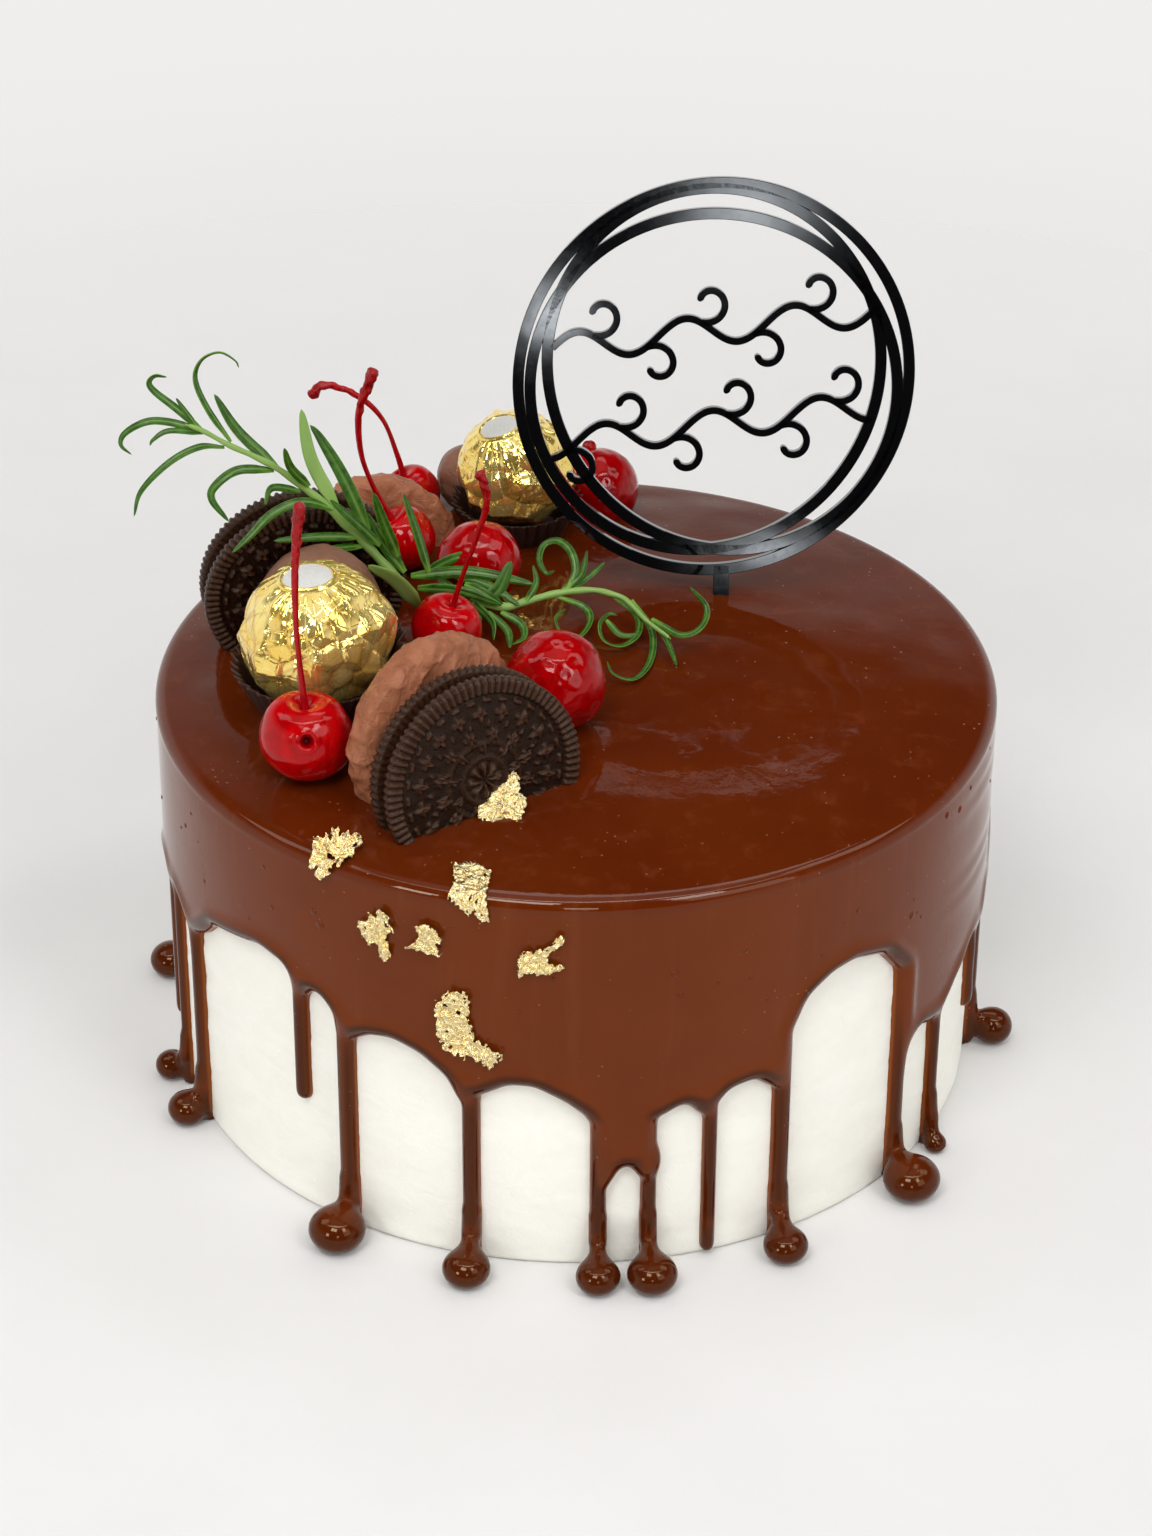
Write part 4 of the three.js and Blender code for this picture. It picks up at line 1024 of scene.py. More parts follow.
def praline(name, node, r, at, label, seed, crease_shade_amount=1.0):
    rng = np.random.default_rng(seed)
    nu, nv = 300, 166
    d = turned_to(unit(label), ball_grid(nu, nv))
    local = ball_grid(nu, nv)
    one, e1 = facets(d, unit(even_points(72) + 0.24 * rng.normal(size=(72, 3))), r, 0.012, rng)
    two, e2 = facets(d, unit(even_points(150) + 0.2 * rng.normal(size=(150, 3))), r, 0.011, rng)
    lat = np.arcsin(np.clip(local[..., 2], -1, 1)) / RAD
    amount = 1 - step(38, 60, lat)
    crumple = (one - r) * 1.05 - (two - r) * 1.45
    lon = np.arctan2(local[..., 1], local[..., 0])
    pleats = 0.16 * np.sign(np.sin(17 * lon + 2 * np.sin(3 * lon))) * np.abs(np.sin(17 * lon + 2 * np.sin(3 * lon))) ** 0.5
    pleats = pleats * step(-25, 40, lat) * (1 - step(62, 70, lat))
    out = crumple * (0.16 + 0.84 * amount) + 0.85 * pleats
    # painted shade along the creases between facets
    crease = np.clip(1 - e1 / 0.16, 0, 1) * 0.6 + np.clip(1 - e2 / 0.1, 0, 1) * 0.6
    rad = r - 0.25 + out
    shape = Shape()
    shape.add(np.array(at) + d * rad[..., None], grid(nu, nv, wrap_u=True), 0, crease=np.clip(crease, 0, 1) * amount * crease_shade_amount)
    # the label's raised lip and the blank oval in it
    m = 120
    u = np.arange(m) / m * 2 * math.pi
    size = r / 15.9
    prof = [(6.9, -0.5), (6.6, 0.05), (6.2, 0.34), (5.8, 0.42), (5.45, 0.3), (5.25, 0.05), (5.2, -0.1)]
    oval = np.stack([np.cos(u), 0.8 * np.sin(u)], 1)

    def patch(rows):
        out = []
        for q, h in rows:
            q = q * size
            x, y = oval[:, 0] * q, oval[:, 1] * q
            z = np.sqrt(np.maximum(r * r - x * x - y * y, 0)) + h - 0.1
            out.append(np.stack([x, y, z], 1))
        return turned_to(unit(label), np.stack(out, 1)) + np.array(at)

    shape.add(patch(prof), grid(m, len(prof), wrap_u=True), 0, crease=0.0)
    flat = [(5.3, 0.02), (5.1, 0.1), (4.0, 0.12), (2.0, 0.12), (0.05, 0.12)]
    shape.add(patch(flat), grid(m, len(flat), wrap_u=True), 1, crease=0.0)
    return shape.piece(name, "gold_foil", [FOIL, LABEL], [node], flat=True)


praline("praline_front_foil", "praline_front", 15.9, (-54.4, -20.1, 113), (-0.1, -0.14, 0.985), 81)
praline("praline_back_foil", "praline_back", 13.2, (-14, 59.6, 111.3), (-0.293, -0.209, 0.933), 83, 0.4)


def cup(name, node, base, rim, height, pleats, at, seed, lift=0.0):
    cols = pleats * 8
    phi = np.arange(cols) / cols * 2 * math.pi
    rng = np.random.default_rng(seed)
    wander = np.interp(phi, np.linspace(0, 2 * math.pi, pleats + 1), np.r_[rng.uniform(-1, 1, pleats), 0])
    zig = np.arcsin(np.sin(pleats * phi)) * 2 / math.pi
    f = np.r_[np.linspace(0, 1, 14)]
    floor_z = float(dome(math.hypot(at[0], at[1]))) + 0.1
    rr = base + (rim - base) * f[None] ** 0.85 + zig[:, None] * (0.15 + 0.75 * f[None]) + 0.35 * (wander * 1.0)[:, None] * f[None]
    top = height * (1 + 0.05 * zig + 0.04 * wander + lift * np.maximum(0, np.cos(phi - 0.6)) ** 2)
    zz = floor_z + top[:, None] * f[None]
    outer = np.stack([at[0] + rr * np.cos(phi)[:, None], at[1] + rr * np.sin(phi)[:, None], zz], -1)
    inner = outer.copy()
    inner[..., 0] -= 0.35 * np.cos(phi)[:, None]
    inner[..., 1] -= 0.35 * np.sin(phi)[:, None]
    both = np.concatenate([outer, inner[:, ::-1]], 1)
    # painted highlight on the outer pleat ridges
    fold = np.concatenate([np.broadcast_to((zig[:, None] > 0.55) * 1.0, rr.shape)] * 2, 1) * 0.8
    mid = np.array([[at[0], at[1], floor_z + 0.2]])
    shape = Shape().add(both, grid(cols, both.shape[1], wrap_u=True), fold=fold)
    floor = np.concatenate([outer[:, 0] + [0, 0, 0.15], mid])
    tri = np.stack([np.arange(cols), (np.arange(cols) + 1) % cols, np.full(cols, cols)], 1)
    shape.add(floor, tri, fold=0.0)
    return shape.piece(name, "cup_paper", [PAPER], [node])


cup("cup_front_look", "praline_cup_front", 12, 17.8, 10.6, 38, (-54.4, -20.1), 91, 0.5)
cup("cup_back_look", "praline_cup_back", 10.2, 14.2, 8.2, 34, (-14, 59.6), 93)


# ---- cherries and berries --------------------------------------------------------------------
def cherry(name, node, r, at, thick, stalk, seed, hole=None):
    at = np.array(at, float)
    nu, nv = 150, 110
    d = ball_grid(nu, nv)
    foot = np.array([stalk[0][0], at[1], stalk[0][1]])
    dimple_dir = unit(foot - at)
    away = np.arccos(np.clip(d @ dimple_dir, -1, 1))
    out = 0.035 * np.cos(2 * np.arctan2(d[..., 1], d[..., 0]) + seed) * (1 - d[..., 2] ** 2)
    out = out - 0.27 * np.exp(-((away / 0.33) ** 2)) + 0.035 * np.exp(-(((away - 0.75) / 0.35) ** 2)) - 0.05 * np.exp(-(((d[..., 2] + 1) / 0.35) ** 2))
    out = out + 0.012 * lumps(d * r, seed, 9)
    # painted shade in the stone hole and the stem dimple
    pit = np.zeros(d.shape[:-1])
    if hole is not None:
        deg = np.arccos(np.clip(d @ unit(hole), -1, 1))
        out = out - 0.3 * (1 - step(0.06, 0.17, deg)) + 0.02 * np.exp(-(((deg - 0.22) / 0.06) ** 2))
        pit = 1 - step(0.09, 0.16, deg)
    pit = np.maximum(pit, 0.5 * np.exp(-((away / 0.16) ** 2)))
    shape = Shape()
    shape.add(at + d * (r * (1 + out))[..., None], grid(nu, nv, wrap_u=True), 0, pit=pit)
    line = [(x, at[1], z) for x, z in stalk]
    line[0] = tuple(at + dimple_dir * r * 0.62)
    tube(
        shape, line, 90, 14,
        lambda f: thick * (0.78 + 0.12 * math.cos(9 * f) + 0.95 * max(0, (f - 0.7) / 0.3) ** 1.3) * (1 if f < 0.985 else max(0.05, (1 - f) / 0.015)) * (1 + 0.5 * max(0, 0.05 - f) / 0.05),
        hint=(0, -1, 0.1), material=1, rough=0.26, seed=seed,
    )  # fmt: skip
    return shape.piece(name, "red_fruit", [CHERRY, STEM], [node])


cherry("cherry_front_look", "cherry_front", 9.6, (-55.4, -46.2, 103.5), 0.85, [(-55.4, 110.6), (-56.6, 127.4), (-56.5, 142.6), (-55.6, 153), (-55, 158)], 1, (0.082, -0.902, 0.424))
cherry("cherry_middle_look", "cherry_middle", 7.7, (-27.9, -2.8, 104.6), 0.75, [(-26.4, 110.6), (-24.5, 117.1), (-21.6, 125.8), (-19.1, 134.6), (-19.6, 140), (-21, 142.6)], 2)
cherry("cherry_left_look", "cherry_left", 7.4, (-38.8, 41.2, 102.7), 0.85, [(-41.6, 107.6), (-45.7, 116.7), (-48, 124.7), (-48.2, 134), (-46, 141), (-44.4, 145)], 3)
cherry("cherry_back_look", "cherry_back", 6.7, (-38.1, 68.1, 100), 0.8, [(-40.2, 104.8), (-41.3, 110.1), (-44.4, 119), (-49.7, 124.8), (-56.9, 127.7), (-61.1, 124.7)], 4)


def berry(name, node, r, at, seed, nub=None):
    nu, nv = 220, 150
    d = ball_grid(nu, nv)
    rng = np.random.default_rng(seed)
    seeds = unit(even_points(105) + 0.06 * rng.normal(size=(105, 3)))
    near = np.arccos(np.clip((d.reshape(-1, 3) @ seeds.T).max(1), -1, 1)).reshape(d.shape[:-1])
    dent = np.exp(-((near / 0.1) ** 2))
    swell_ = 0.5 - 0.5 * np.cos(np.clip(near / 0.17, 0, 1) * math.pi)
    out = -0.008 * dent + 0.002 * swell_ + 0.022 * lumps(d * r, seed, 11) + 0.003 * lumps(d * r, seed + 1, 4)
    shape = Shape()
    shape.add(np.array(at) + d * (r * (1 + out))[..., None], grid(nu, nv, wrap_u=True), 0, pit=0.25 * dent)
    if nub is not None:
        q = ball_grid(40, 30)
        centre = np.array(at) + unit(nub) * (r + 0.2)
        shape.add(centre + q * 1.7 * (1 + 0.05 * lumps(q, seed, 1.2))[..., None], grid(40, 30, wrap_u=True), 0, pit=0.0)
    return shape.piece(name, "red_fruit", [BERRY], [node])


berry("berry_right_look", "berry_right", 10.6, (-4.2, -29.4, 107.5), 101)
berry("berry_left_look", "berry_left", 9.3, (-21.5, 24.4, 106.2), 103)
berry("berry_back_look", "berry_back", 9.6, (4.6, 72.6, 99.2), 105, (-0.207, 0.471, 0.925))

# ---- rosemary --------------------------------------------------------------------------------
STEM_LEFT = [(-34.5, 5, 107.1), (-39.8, 5, 113.9), (-45.6, 5, 121.4), (-49.5, 4.5, 126), (-52.6, 4, 129.9), (-58.1, 3.5, 135.4), (-63.4, 2, 140.6), (-68.2, 1, 144), (-73.1, 0, 147), (-78.3, -1, 150.8), (-81.9, -1.5, 152.6)]
STEM_RIGHT = [(-23.2, 11.1, 104), (-15.8, 9, 103.5), (-10.2, 12.1, 103.5), (-3.7, 14.5, 104), (3.1, 15, 104.5), (7.7, 13.2, 104.5), (10.7, 11.5, 104), (15.2, 4, 103), (20.3, -1.1, 101.5)]
# line of each needle from the stem to its tip, then its width
NEEDLES_LEFT = [
    ([(-78.4, 0, 150.3), (-85.3, -1, 152.8), (-90, -1.6, 153.1), (-94.4, -2.2, 150.8), (-95.4, -2.6, 148.2), (-93.2, -3, 146.1)], 1.9),
    ([(-78.8, 0, 150.7), (-83.9, 0.7, 155.2), (-88.1, 1.3, 158.6), (-89.3, 1.5, 160.6), (-88, 1.7, 162.1), (-85.5, 2, 161.7)], 1.9),
    ([(-79.8, 0, 151.6), (-81.8, 0.5, 154.4), (-83.8, 1, 157.4)], 1.3),
    ([(-78.4, 0, 149.8), (-85.2, -2.3, 151.4), (-88.5, -3.5, 149.9), (-89.2, -4, 148.7)], 1.6),
    ([(-74.2, 1, 146), (-79.3, -0.8, 146.9), (-85.5, -3.2, 144.4), (-91.3, -6.1, 139.2), (-92.9, -8, 134.1)], 1.9),
    ([(-72.8, 1.5, 147), (-77.3, 2.2, 154), (-79.8, 2.8, 160.7), (-78.4, 3.2, 165.1), (-74.6, 3.5, 166.8), (-71.4, 3.8, 164.8), (-70.7, 4, 162.9)], 2.2),
    ([(-63.4, 2.5, 140.4), (-71.5, 4.4, 148.1), (-76.3, 6, 155.9)], 3),
    ([(-64.1, 2.5, 139.9), (-71.4, -0.4, 141.3), (-76.1, -2.6, 138.7), (-76.8, -3.8, 136), (-73.2, -6, 132)], 2.2),
    ([(-56.8, 3, 135.9), (-60.3, 0.3, 141.6), (-61.4, -2, 147.4)], 2.2),
    ([(-51.3, 4, 130.6), (-56.4, 6, 140.7), (-58.3, 8, 151.5)], -3.3),
    ([(-44.7, 4.5, 124.6), (-49.8, 7.2, 135.9), (-54.6, 9.3, 144.1), (-56.7, 10, 146.8)], 3.3),
    ([(-58.8, 3, 134.7), (-64.2, -2.4, 138.2), (-65.5, -6, 136)], 2),
    ([(-51.7, 4, 129.9), (-58.2, 0.5, 133.4), (-64.4, -3, 132.3), (-69.1, -6.5, 128.7), (-72.6, -9, 126.2)], 2.3),
    ([(-46.6, 4.5, 122.9), (-55.1, 0.9, 124.8), (-64.2, -3, 125.9)], 2.2),
    ([(-46, 4.5, 120.7), (-52.6, -0.2, 122.3), (-58.7, -5, 121.9)], 2),
    ([(-38.4, 5, 118.1), (-41.1, 2.9, 126.9), (-43.2, 1, 135.4)], 3),
    ([(-31.8, 5, 114.2), (-34.5, 6.6, 123.6), (-37.2, 8, 131.7)], 3),
    ([(-34.2, 3, 107.2), (-38.7, -3.8, 117.1), (-44, -10, 124)], -4),
    ([(-42.2, 4.5, 121), (-47.8, 2, 128.4), (-52.3, 0, 134.2)], 2.6),
    ([(-37, 5, 114.2), (-42.2, 6.1, 121.3), (-45.1, 7, 127.6)], 2.6),
]
NEEDLES_RIGHT = [
    ([(-36.2, 16.3, 107), (-23.3, 14.8, 108.9), (-9.3, 11.2, 108)], 3),
    ([(-34.6, 12.7, 106), (-25.3, 9.7, 107), (-16.2, 7.2, 105)], 2.6),
    ([(-21.5, 10.2, 104), (-17.1, 11.1, 106.5), (-14.3, 14.2, 112)], 3.6),
    ([(-24.3, 11, 108), (-20.5, 9, 107.2), (-15.8, 8.5, 104)], 2.4),
    ([(-2.4, 14.9, 104), (-0.4, 18.5, 107.1), (-1.3, 21.8, 110.2), (-4.2, 25.4, 111), (-7.3, 25.5, 109.9), (-8.3, 22.2, 108), (-6.8, 18.8, 106.6), (-4.8, 20.8, 106)], 2),
    ([(-11, 10.8, 104), (-8.9, 15, 106.2), (-9.6, 18, 109)], 1.7),
    ([(-3.2, 15.8, 104), (0.9, 17.4, 106.9), (2.2, 19.4, 112)], 1.6),
    ([(-1.3, 16.3, 104), (3.1, 18.6, 106.2), (6.1, 21.4, 108)], 1.5),
    ([(-4.5, 14, 103.5), (1.6, 12.9, 101.4), (2.9, 8.2, 100.6), (0.5, 1.3, 100.5), (-3.1, 0.7, 101.6), (-4.5, 5.5, 102.8), (-2.3, 8.2, 103.5)], 1.7),
    ([(7.7, 13.7, 104), (13.1, 10.4, 100.9), (13.1, 3.7, 99.7), (9.6, -0.8, 99.5), (5.9, -0.9, 100.8), (5, 3.1, 102.5), (7, 7, 103), (8.9, 6.2, 103)], 1.9),
    ([(12, 12.4, 103.5), (16.3, 4.8, 100.1), (15.8, -5.9, 98.7), (12.3, -14, 99), (8, -13.6, 99.9), (6.5, -9.9, 101)], 1.7),
    ([(16.3, 5.8, 102.5), (19.5, -0.3, 100.5), (21.5, -8.4, 99)], 1.5),
    ([(16.3, 5.8, 102.5), (22.3, -0.1, 101.9), (26.6, 0.5, 103.3), (28.1, 4.9, 105.8), (24.4, 6.7, 110)], 1.9),
    ([(6.4, 6.1, 102), (9.6, 3.1, 100), (13.9, 3.6, 100)], 1.7),
    ([(-16.4, 7.6, 103), (-12.1, 5.1, 101.5), (-11.4, 1.2, 100.4), (-14.1, -1.5, 100)], 2),
    ([(-19.2, 7.6, 103), (-15, 2.8, 101.2), (-14.3, -2.8, 100)], 2),
    ([(-23.2, 11.1, 104), (-18.3, 4.1, 102.5), (-17.8, -1.1, 101)], 2.2),
    ([(-29.9, 17.3, 106), (-24.6, 7.4, 105.3), (-20.4, 2.3, 104)], 2.6),
    ([(-27.3, 16, 107.5), (-19.3, 12.4, 107), (-12.3, 8.6, 104)], 2.4),
    ([(-32.6, 18.2, 107), (-27.7, 17.9, 110.2), (-23.3, 18.2, 112)], 2.6),
]


def needle(shape, line, width, seed):
    pale = 0.85 if width < 0 else 0.0
    w = abs(width) * 0.92
    n, m = max(26, 8 * len(line)), 20
    q = smooth_line(line, n)
    rng = np.random.default_rng(seed)
    hint = np.array([0.1, -0.62, 0.78]) + 0.25 * rng.normal(size=3)
    t, s, up = axes_along(q, hint)
    if pale:
        up = -up
        s = -s
    f = np.linspace(0, 1, n)
    wide = np.minimum(1, 0.5 + 2.6 * f) * np.sqrt(np.clip(1 - f**3.2, 0.0004, 1))
    a = np.arange(m) / m * 2 * math.pi
    x = np.cos(a) * 0.5 * w
    y = np.sin(a) * np.where(np.sin(a) > 0, 0.24, 0.17) * w
    y = y - (np.sin(a) > 0.2) * 0.15 * w * np.exp(-((x / (0.13 * w)) ** 2))
    y = y + (np.sin(a) < -0.2) * 0.06 * w * np.exp(-((x / (0.3 * w)) ** 2))
    v = q[:, None] + (s[:, None] * x[None, :, None] + up[:, None] * y[None, :, None]) * wide[:, None, None]
    under = np.tile((np.sin(a) < -0.15) * 1.0, n)
    edge = np.tile((np.abs(x) > 0.42 * w) * 1.0, n) * 0.6 + np.repeat(np.clip(1 - f * 6, 0, 1), m)
    groove = np.tile((np.sin(a) > 0.2) * np.exp(-((x / (0.09 * w)) ** 2)), n) * np.repeat(np.clip(1.2 - f, 0, 1), m)
    shape.add(v, grid(n, m, wrap_v=True), 0, under=under, groove=groove, pale=pale * (1 - 0.4 * np.repeat(f, m)), edge=np.clip(edge, 0, 1), along=np.repeat(f, m))


def sprig(name, node, stem, needles, thick, seed):
    shape = Shape()
    tube(shape, stem, 110, 12, lambda f: thick * (1 - 0.62 * f) * (1 + 0.1 * math.sin(55 * f)) * (1 if 0.01 < f < 0.99 else 0.3), pale=1.0, edge=0.2)
    for k, (line, width) in enumerate(needles):
        needle(shape, line, width, seed + k)
    return shape.piece(name, "leaf", [LEAF], [node])


sprig("rosemary_left_look", "rosemary_sprig_left", STEM_LEFT, NEEDLES_LEFT, 1.25, 200)
sprig("rosemary_right_look", "rosemary_sprig_right", STEM_RIGHT, NEEDLES_RIGHT, 1.05, 300)


# ---- gold leaf flakes ------------------------------------------------------------------------
def flake(name, centre, u, v, w, h, seed, crumple=0.5, wrap=None, shape_fn=None, holes=0.0):
    """A torn flake: w by h, in the plane of u and v, or laid on a surface by wrap(x, y, lift)."""
    n = 84
    x, y = np.meshgrid(np.linspace(-0.5, 0.5, n), np.linspace(-0.5, 0.5, n), indexing="ij")
    px, py = x * w, y * h
    p3 = np.stack([px, py, 0 * px], -1)
    ang, rho = np.arctan2(y, x), 2 * np.hypot(x, y)
    edge = 0.78 + 0.16 * lumps(np.stack([np.cos(ang), np.sin(ang), 0 * ang], -1), seed, 1.6) + 0.09 * lumps(p3, seed + 1, 1.5)
    inside = rho < edge if shape_fn is None else shape_fn(x, y) + 0.035 * lumps(p3, seed + 1, 1.1) > 0
    if holes:
        inside &= lumps(p3, seed + 4, 1.9) > -1.25 + holes
    lift = 0.25 + crumple * (0.55 * (1 - np.abs(lumps(p3, seed + 2, 3.6))) + 0.32 * np.abs(lumps(p3, seed + 3, 1.5)) + 0.3 * step(0.5, 0.9, rho))
    if wrap:
        p = wrap(px, py, lift)
    else:
        u, v = unit(u), unit(v)
        p = np.array(centre) + px[..., None] * u + py[..., None] * v + lift[..., None] * np.cross(u, v)
    f = grid(n, n)
    cell = inside.ravel()
    f = f[cell[f].sum(1) >= 3]
    used = np.unique(f)
    new = np.full(n * n, -1)
    new[used] = np.arange(len(used))
    return Shape().add(p.reshape(-1, 3)[used], new[f]).piece(name, "gold_foil", [GOLD_LEAF])


def on_wall(azimuth, z0):
    def wrap(x, y, lift):
        a = azimuth * RAD + x / GLAZE_R
        r = GLAZE_R + 0.12 + lift * 0.9
        return np.stack([r * np.cos(a), r * np.sin(a), z0 + y], -1)

    return wrap


def on_top(cx, cy):
    def wrap(x, y, lift):
        px, py = cx + x, cy + y
        r = np.hypot(px, py)
        z = np.where(r < RIM_IN, dome(np.minimum(r, RIM_IN)), 0)
        over = np.clip(r - RIM_IN, 0, 20)
        bend = np.clip(over / FILLET, 0, math.pi / 2)
        rr = np.where(r < RIM_IN, r, RIM_IN + (FILLET + lift) * np.sin(bend))
        zz = np.where(r < RIM_IN, z + lift, RIM_Z + (FILLET + lift) * np.cos(bend) - np.maximum(over - FILLET * math.pi / 2, 0))
        k = rr / np.maximum(r, 1e-6)
        return np.stack([px * k, py * k, zz], -1)

    return wrap


def outline(*corners):
    """How far inside a torn outline a place lies, from its corners."""
    c = np.array(corners, float)

    def depth(x, y):
        best = np.full(x.shape, 9.0)
        odd = np.zeros(x.shape, bool)
        for (x0, y0), (x1, y1) in zip(c, np.roll(c, -1, 0)):
            dx, dy = x1 - x0, y1 - y0
            t = np.clip(((x - x0) * dx + (y - y0) * dy) / (dx * dx + dy * dy), 0, 1)
            best = np.minimum(best, np.hypot(x - x0 - t * dx, y - y0 - t * dy))
            if dy:
                odd ^= ((y0 > y) != (y1 > y)) & (x < x0 + (y - y0) * dx / dy)
        return np.where(odd, best, -best)

    return depth


TORN_A = outline((0.1, 0.5), (0.3, 0.42), (0.5, 0.1), (0.3, 0.05), (0.22, -0.1), (0.38, -0.3), (0.3, -0.5), (0.12, -0.5), (0.02, -0.25), (-0.2, -0.25), (-0.45, -0.05), (-0.5, 0.12), (-0.3, 0.15), (-0.15, 0.35), (0, 0.3))
TORN_B = outline((-0.5, -0.4), (-0.2, -0.15), (-0.15, 0.1), (-0.25, 0.35), (0.05, 0.5), (0.3, 0.4), (0.5, 0.1), (0.35, -0.1), (0.4, -0.45), (0, -0.42))
TORN_C = outline((0.4, 0.5), (0.5, 0.35), (0.15, 0.02), (0.1, -0.12), (0.5, -0.25), (0.05, -0.4), (-0.3, -0.38), (-0.48, -0.5), (-0.5, -0.1), (-0.4, 0.05), (-0.1, 0.1), (0.1, 0.15), (0.25, 0.3))
TORN_D = outline((-0.24, 0.49), (-0.01, 0.48), (0.02, 0.25), (0.05, -0.06), (0.22, -0.19), (0.5, -0.28), (0.31, -0.5), (0.08, -0.37), (-0.18, -0.37), (-0.35, -0.32), (-0.44, -0.14), (-0.5, 0.17), (-0.47, 0.28), (-0.35, 0.4))
TORN_RIM = outline((-0.4, 0.5), (0.1, 0.5), (0.5, 0.3), (0.42, -0.1), (0.4, -0.45), (0.15, -0.5), (0.1, -0.3), (-0.1, -0.35), (-0.2, -0.25), (-0.5, -0.1), (-0.35, 0.1))
TORN_TOP = outline((0.3, 0.5), (0.4, 0.35), (0.35, 0.1), (0.5, -0.1), (0.35, -0.3), (0, -0.5), (-0.25, -0.3), (-0.5, -0.1), (-0.45, 0.1), (-0.1, 0.3), (0.1, 0.42))

flake("gold_flake_corner", None, None, None, 13.5, 13.5, 401, 1.9, on_top(-48.2, -72.6), holes=0.25)
flake("gold_flake_cookie", (-14.8, -61.4, float(dome(62.5)) + 1.6), (0.92, 0.2, 0.25), (-0.15, 0.72, 0.68), 11, 12, 403, 0.8, None, TORN_TOP)
flake("gold_flake_rim", None, None, None, 8.6, 15.0, 405, 0.7, on_top(-21.0, -86.2), TORN_RIM, holes=0.1)
flake("gold_flake_wall_a", None, None, None, 8.4, 12.6, 407, 1.15, on_wall(-115.8, 79.8), TORN_A, holes=0.1)
flake("gold_flake_wall_b", None, None, None, 8.0, 7.4, 409, 1.15, on_wall(-109.2, 81.1), TORN_B)
flake("gold_flake_wall_c", None, None, None, 9.6, 11.2, 411, 1.15, on_wall(-94.1, 80.4), TORN_C)
flake("gold_flake_wall_d", None, None, None, 14.2, 18.2, 413, 1.15, on_wall(-103.5, 60.9), TORN_D, holes=0.12)


# ---- floor, light and camera -----------------------------------------------------------------
BACK = (0.868, 0.856, 0.843)


def floor():
    me = bpy.data.meshes.new("floor")
    n, ring = 96, 12
    a = np.arange(n) / n * 2 * math.pi
    r = np.linspace(0.001, 1.9, ring)
    v = np.stack([r[None] * np.cos(a)[:, None], r[None] * np.sin(a)[:, None], np.full((n, ring), -0.0002)], -1)
    me.from_pydata(v.reshape(-1, 3).tolist(), [], grid(n, ring, wrap_u=True).tolist())
    o = bpy.data.objects.new("floor", me)
    bpy.context.scene.collection.objects.link(o)
    m = Mat("pale_floor", Roughness=0.7, IOR=1.3)
    m.set("Emission Color", (1.0, 0.985, 0.968))
    m.b.inputs["Emission Strength"].default_value = 0.06
    grain = m.noise(0.02, 4.0, 0.55)
    m.set("Base Color", m.mix(m.span(grain, 0.3, 0.7), (0.645, 0.64, 0.632), (0.662, 0.657, 0.65)))
    m.set("Normal", m.bump(m.noise(0.6, 4.0, 0.6), 0.04))
    far = m.node("ShaderNodeVectorMath", {"operation": "LENGTH"}, {0: m.co}).outputs["Value"]
    m.set("Alpha", m.span(far, 190.0, 640.0, 1.0, 0.0))
    me.materials.append(m.m)


floor()


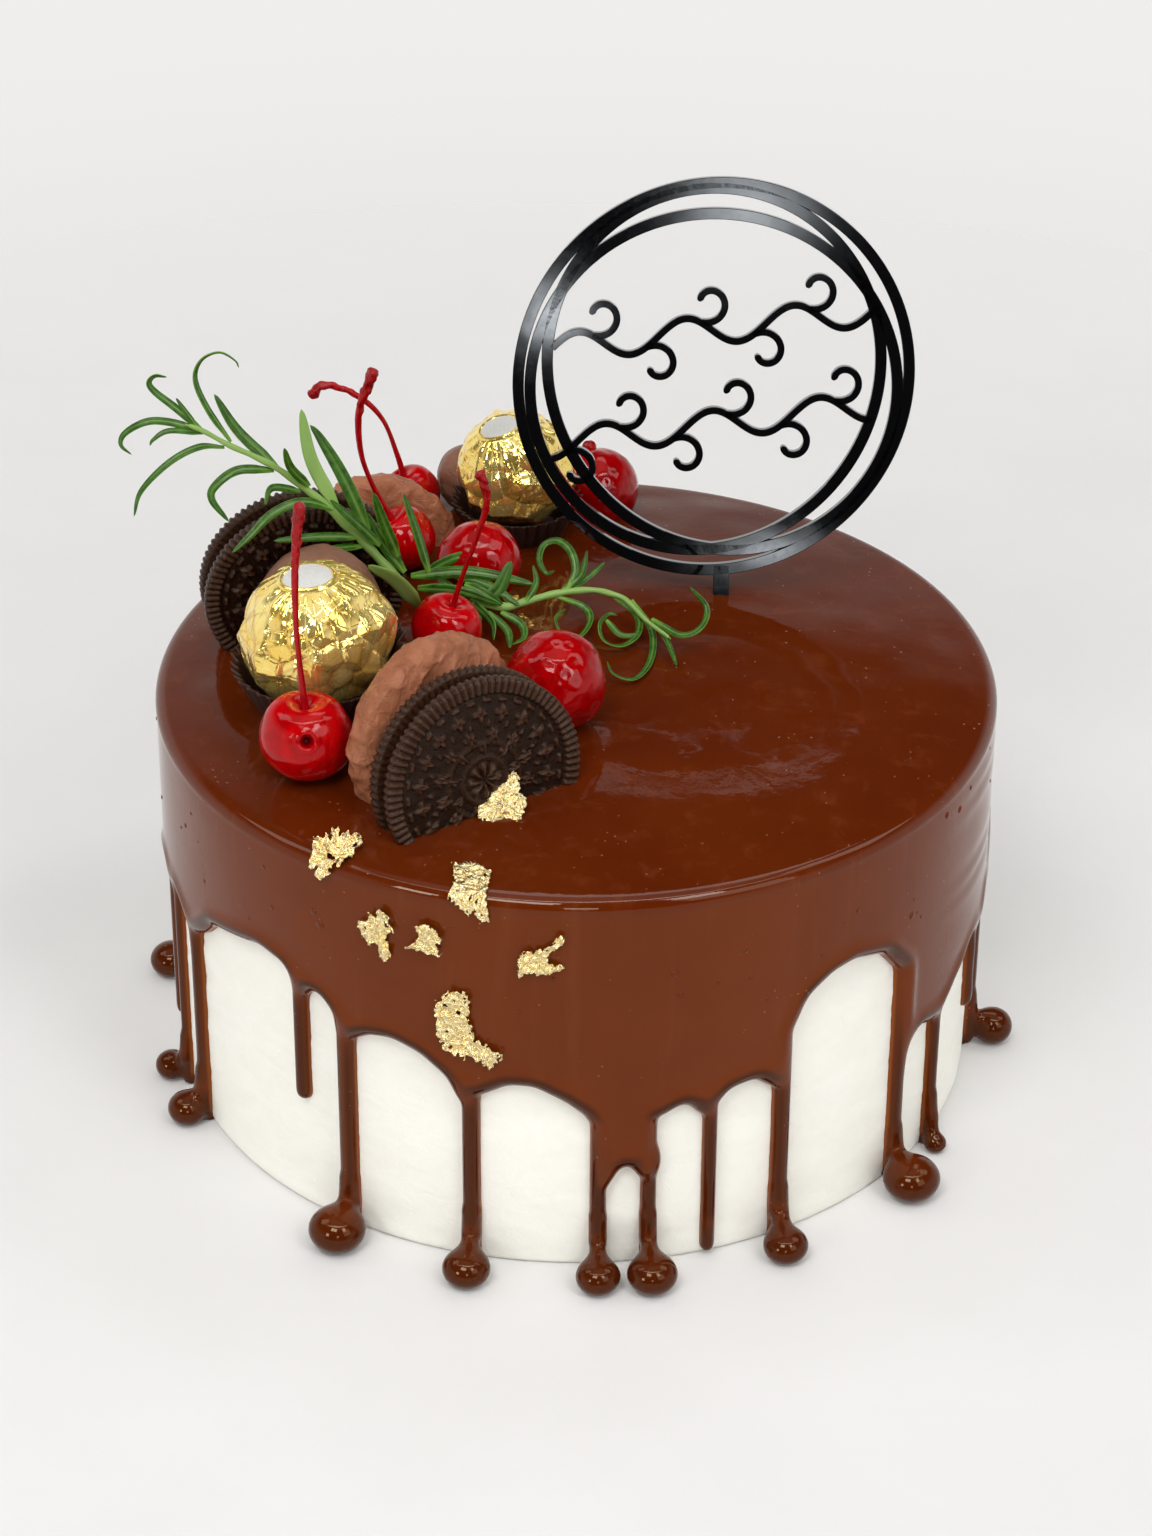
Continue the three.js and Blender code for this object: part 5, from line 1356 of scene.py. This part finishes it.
def sky():
    w = bpy.data.worlds.new("studio")
    bpy.context.scene.world = w
    w.use_nodes = True
    t = w.node_tree
    t.nodes.clear()
    out = t.nodes.new("ShaderNodeOutputWorld")
    bg = t.nodes.new("ShaderNodeBackground")
    co = t.nodes.new("ShaderNodeTexCoord")
    sep = t.nodes.new("ShaderNodeSeparateXYZ")
    ramp = t.nodes.new("ShaderNodeValToRGB")
    half = t.nodes.new("ShaderNodeMath")
    half.operation = "MULTIPLY_ADD"
    half.inputs[1].default_value = 0.5
    half.inputs[2].default_value = 0.5
    t.links.new(co.outputs["Generated"], sep.inputs[0])

    def math_node(kind, a, b=0.0):
        n = t.nodes.new("ShaderNodeMath")
        n.operation = kind
        for k, v in enumerate((a, b)):
            if isinstance(v, (int, float)):
                n.inputs[k].default_value = v
            else:
                t.links.new(v, n.inputs[k])
        return n.outputs[0]

    def smooth(value, lo, hi):
        n = t.nodes.new("ShaderNodeMapRange")
        n.interpolation_type = "SMOOTHSTEP"
        n.inputs["From Min"].default_value, n.inputs["From Max"].default_value = lo, hi
        t.links.new(value, n.inputs["Value"])
        return n.outputs[0]

    # the pale wall reaches higher at the back left
    left = math_node("MULTIPLY", smooth(sep.outputs[0], -0.06, -0.12), smooth(sep.outputs[1], 0.3, 0.7))
    t.links.new(math_node("SUBTRACT", sep.outputs[2], math_node("MULTIPLY", left, 0.15)), half.inputs[0])
    t.links.new(half.outputs[0], ramp.inputs[0])
    t.links.new(ramp.outputs[0], bg.inputs[0])
    t.links.new(bg.outputs[0], out.inputs[0])
    ramp.color_ramp.interpolation = "EASE"
    stops = [(-90, 1.0), (11, 1.0), (22, 0.5), (31, 0.05), (50, 0.03), (62, 0.4), (72, 0.8), (90, 1.0)]
    while len(ramp.color_ramp.elements) < len(stops):
        ramp.color_ramp.elements.new(0.5)
    for e, (el, k) in zip(ramp.color_ramp.elements, stops):
        e.position = 0.5 + 0.5 * math.sin(el * RAD)
        e.color = (*(c * k for c in BACK), 1)
    # the room behind the front of the cake is dim above the floor
    front = t.nodes.new("ShaderNodeMapRange")
    front.interpolation_type = "SMOOTHSTEP"
    for key, value in (("From Min", -0.86), ("From Max", -0.5), ("To Min", 0.0), ("To Max", 1.0)):
        front.inputs[key].default_value = value
    t.links.new(sep.outputs[1], front.inputs["Value"])
    high = t.nodes.new("ShaderNodeMapRange")
    high.interpolation_type = "SMOOTHSTEP"
    for key, value in (("From Min", -0.02), ("From Max", 0.01), ("To Min", 1.0), ("To Max", 0.0)):
        high.inputs[key].default_value = value
    t.links.new(sep.outputs[2], high.inputs["Value"])
    either = t.nodes.new("ShaderNodeMath")
    either.operation = "MAXIMUM"
    t.links.new(front.outputs[0], either.inputs[0])
    t.links.new(high.outputs[0], either.inputs[1])
    # a narrow tube light curves over the front, and draws the line along the rim
    xx = math_node("MULTIPLY", sep.outputs[0], sep.outputs[0])
    bend = math_node("ADD", math_node("MULTIPLY", xx, 0.5), math_node("MULTIPLY", math_node("MULTIPLY", xx, xx), 0.85))
    off = math_node("ABSOLUTE", math_node("SUBTRACT", math_node("ADD", sep.outputs[1], 0.325), bend))
    tube_light = math_node("MULTIPLY", smooth(off, 0.048, 0.02), smooth(sep.outputs[2], 0.6, 0.72))
    total = math_node("ADD", either.outputs[0], math_node("MULTIPLY", tube_light, 17.5))
    # three small far lights low in front, for the glints on flat acrylic
    for cx, cz, wx, wz, power in ((0.0417, 0.163, 0.011, 0.009, 13), (-0.0065, 0.138, 0.006, 0.006, 20), (0.0475, 0.0795, 0.009, 0.004, 13)):
        u = math_node("MULTIPLY", math_node("SUBTRACT", sep.outputs[0], cx), 1 / wx)
        v = math_node("MULTIPLY", math_node("SUBTRACT", sep.outputs[2], cz), 1 / wz)
        fall = math_node("ADD", math_node("MULTIPLY", u, u), math_node("MULTIPLY", v, v))
        spot = math_node("MULTIPLY", math_node("EXPONENT", math_node("MULTIPLY", fall, -0.7)), smooth(sep.outputs[1], -0.7, -0.9))
        total = math_node("ADD", total, math_node("MULTIPLY", spot, power))
    t.links.new(total, bg.inputs[1])


sky()


def lamp(name, azimuth, elevation, distance, size, power, aim=(0, 0, 0.07), tint=(1, 1, 1)):
    d = bpy.data.lights.new(name, "AREA")
    d.shape = "RECTANGLE"
    d.size, d.size_y = size
    d.energy = power
    d.color = tint
    o = bpy.data.objects.new(name, d)
    a, e = azimuth * RAD, elevation * RAD
    back = Vector((math.sin(a) * math.cos(e), -math.cos(a) * math.cos(e), math.sin(e)))
    o.location = Vector(aim) + back * distance
    o.rotation_mode = "QUATERNION"
    o.rotation_quaternion = back.to_track_quat("Z", "Y")
    o.visible_camera = False
    bpy.context.scene.collection.objects.link(o)


lamp("key", -20, 51, 1.5, (0.5, 0.34), 7.0)
lamp("key_right", 36, 48, 1.6, (0.3, 0.42), 4.0)
lamp("low_front", 1.5, 19.6, 1.6, (0.2, 0.3), 1.3)
lamp("fill_left", -40, 20, 1.6, (0.26, 0.36), 3.8)
lamp("fill_right", 43, 32, 1.6, (0.75, 0.7), 3.8)
lamp("back_fill", 165, 62, 1.7, (0.8, 0.5), 3.0)
lamp("side_left", -100, 50, 1.7, (0.5, 0.7), 3.0)
lamp("side_right", 100, 50, 1.7, (0.5, 0.7), 3.0)


def camera():
    c = bpy.data.cameras.new("camera")
    c.sensor_fit = "AUTO"
    c.sensor_width = 36
    c.lens = 4000 / 1536 * 36
    c.clip_start, c.clip_end = 0.05, 20
    o = bpy.data.objects.new("camera", c)
    bpy.context.scene.collection.objects.link(o)
    pitch, roll, far = 31.54 * RAD, 0.33 * RAD, 0.8796
    fwd = Vector((0, math.cos(pitch), -math.sin(pitch)))
    right, up = Vector((1, 0, 0)), Vector((0, math.sin(pitch), math.cos(pitch)))
    r2 = right * math.cos(roll) + up * math.sin(roll)
    u2 = up * math.cos(roll) - right * math.sin(roll)
    m = Matrix((r2, u2, -fwd)).transposed().to_4x4()
    m.translation = Vector((0.00004, 0, 0.06808)) - fwd * far
    o.matrix_world = m
    bpy.context.scene.camera = o


camera()
bpy.context.scene.view_settings.view_transform = "Standard"
bpy.context.scene.view_settings.look = "None"
